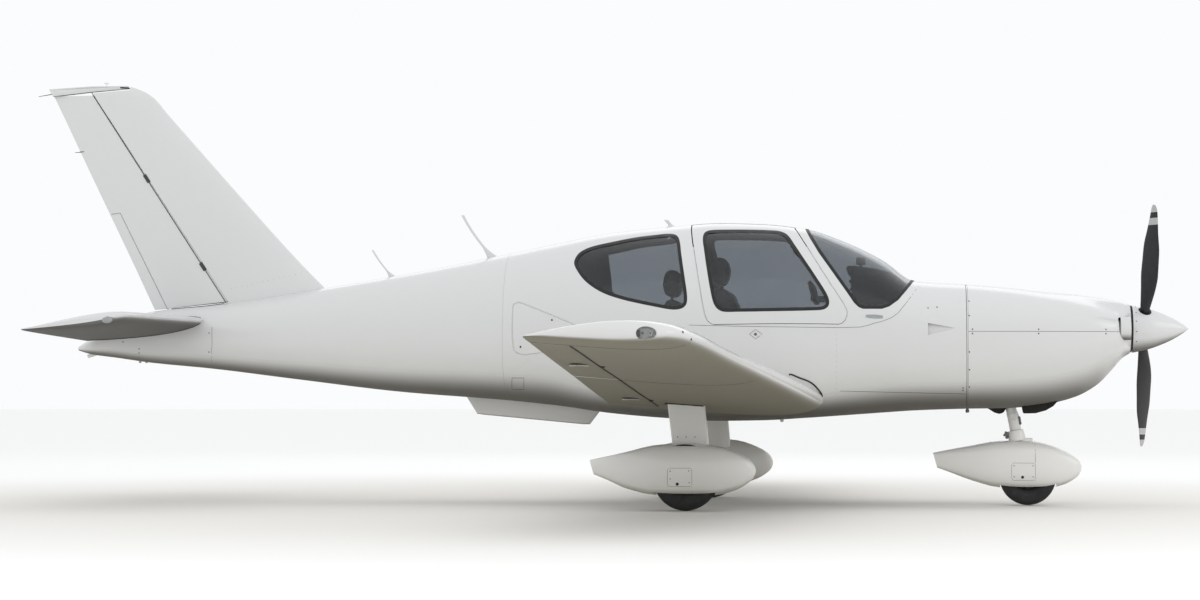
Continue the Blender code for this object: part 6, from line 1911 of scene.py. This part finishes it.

# %% [markdown]
# ## Tail details
# The rudder carries a trim tab and two static wicks. Hinge plates bridge its gap and a small
# aerial stands on its horn. A dark line along the gap, a dark strip at its foot and a dark
# block under the horn are painted shade in the gaps. The all-moving tailplane has a rubber
# seal at its root and a lens in each tip.
# %% Tail details
for side, word in SIDES:
    tab = seams(f"trim_tab_seam_{word}", [((7.304, 1.977), (7.240, 1.986), (6.898, 1.317))],
                lambda s, z: fin_place(s, z, side), 0.0014)
    dress(tab, GAP_DARK, "rudder")
    plates = []
    for station, z in ((7.063, 2.220), (6.662, 1.610)):
        point, facing = fin_place(station - 0.018, z, side)
        plates.append(block(point, (0.024, 0.007, 0.062), (0, -0.587, 0), 0.001))
        plates.append(block(point + Vector((0, 0.0012 * side, 0)), (0.019, 0.007, 0.057), (0, -0.587, 0), 0.001))
    dress(joined(f"rudder_hinge_plates_{word}", plates), CASTING, "airframe")
    (low_s, low_z), (high_s, high_z) = RUDDER_AXIS
    # A dark line along the rudder's gap is a painted shade.
    gap_line = ((low_s - 0.006, low_z), (high_s - 0.022, high_z - 0.012))
    dress(seams(f"rudder_gap_{word}", [gap_line], lambda s, z: fin_place(s, z, side), 0.0028), GAP_DARK, "airframe")
    # A dark strip at the rudder's foot is a painted shade in the gap.
    strip_path = [at(s, side * 0.052, skin_z(s, 0.052) - 0.0005) for s in spaced(6.49, 6.86, 0.03)]
    dress(joined(f"rudder_foot_gap_{word}", [tube("strip", strip_path, 0.0042, 8)]), GAP_DARK, "airframe")
    row = monotone(TAILPLANE, 0.212)
    seal_path = [wing_point(row, side, share, -1, camber=0.0) for share in spaced(0.03, 0.96, 0.05)[::-1]]
    seal_path += [wing_point(row, side, share, 1, camber=0.0) for share in (0.0, 0.02, 0.06, 0.12, 0.20)]
    dress(joined(f"tailplane_root_seal_{word}", [tube("seal", seal_path, 0.0035, 8)]), RUBBER, "tailplane")
    lens_place = at(6.850, side * 1.592, 1.200)
    lens = ellipsoid(lens_place, (0.036, 0.013, 0.022), 40)
    combine(lens, block(lens_place - Vector((0, side * 0.055, 0)), (0.200, 0.100, 0.200), rounding=0.001))
    dress(joined(f"tailplane_tip_lens_{word}", [lens]), ALLOY, "tailplane")

wicks = [bar(at(7.735, 0, 2.815), at(7.830, 0, 2.800), 0.0030, 0.0016, 12), bar(at(7.505, 0, 2.412), at(7.568, 0, 2.407), 0.003, 0.0016, 12)]
wicks.append(bar(at(7.490, 0.0, 2.414), at(7.530, 0.0, 2.411), 0.006, 0.004, 12, 0.001))
dress(joined("static_wicks", wicks), PLASTIC, "rudder")
crown = [bar(at(7.345, 0, 2.858), at(7.345, 0, 2.884), 0.005, 0.004, 16), block(at(7.345, 0, 2.887), (0.034, 0.012, 0.008), rounding=0.002)]
dress(joined("horn_aerial", crown), GEAR_PAINT, "rudder")
# A dark block under the horn is a painted shade in its gap.
dress(joined("horn_gap_wedge", [block(at(7.214, 0, 2.8525), (0.062, 0.030, 0.010), (0, 0.06, 0), 0.003)]), GAP_DARK, "rudder")
tail_bits = [block(at(7.430, 0, 1.006), (0.075, 0.024, 0.022), (0, -0.30, 0), 0.005)]
dress(joined("tail_skid", tail_bits), GEAR_PAINT, "airframe")
lamps = [bar(at(7.045 + 0.045 * i, -0.015, 0.965), at(7.045 + 0.045 * i, -0.015, 0.949), 0.011, 0.008, 24, 0.003) for i in range(2)]
dress(joined("tail_lamps", lamps), ALLOY, "airframe")
drain_aerial = [bar(at(2.68, 0, 0.580), at(2.68, 0, 0.548), 0.020, 0.009, 24, 0.004)]
dress(joined("belly_drain", drain_aerial), GEAR_PAINT, "airframe")
print("tail details ready")
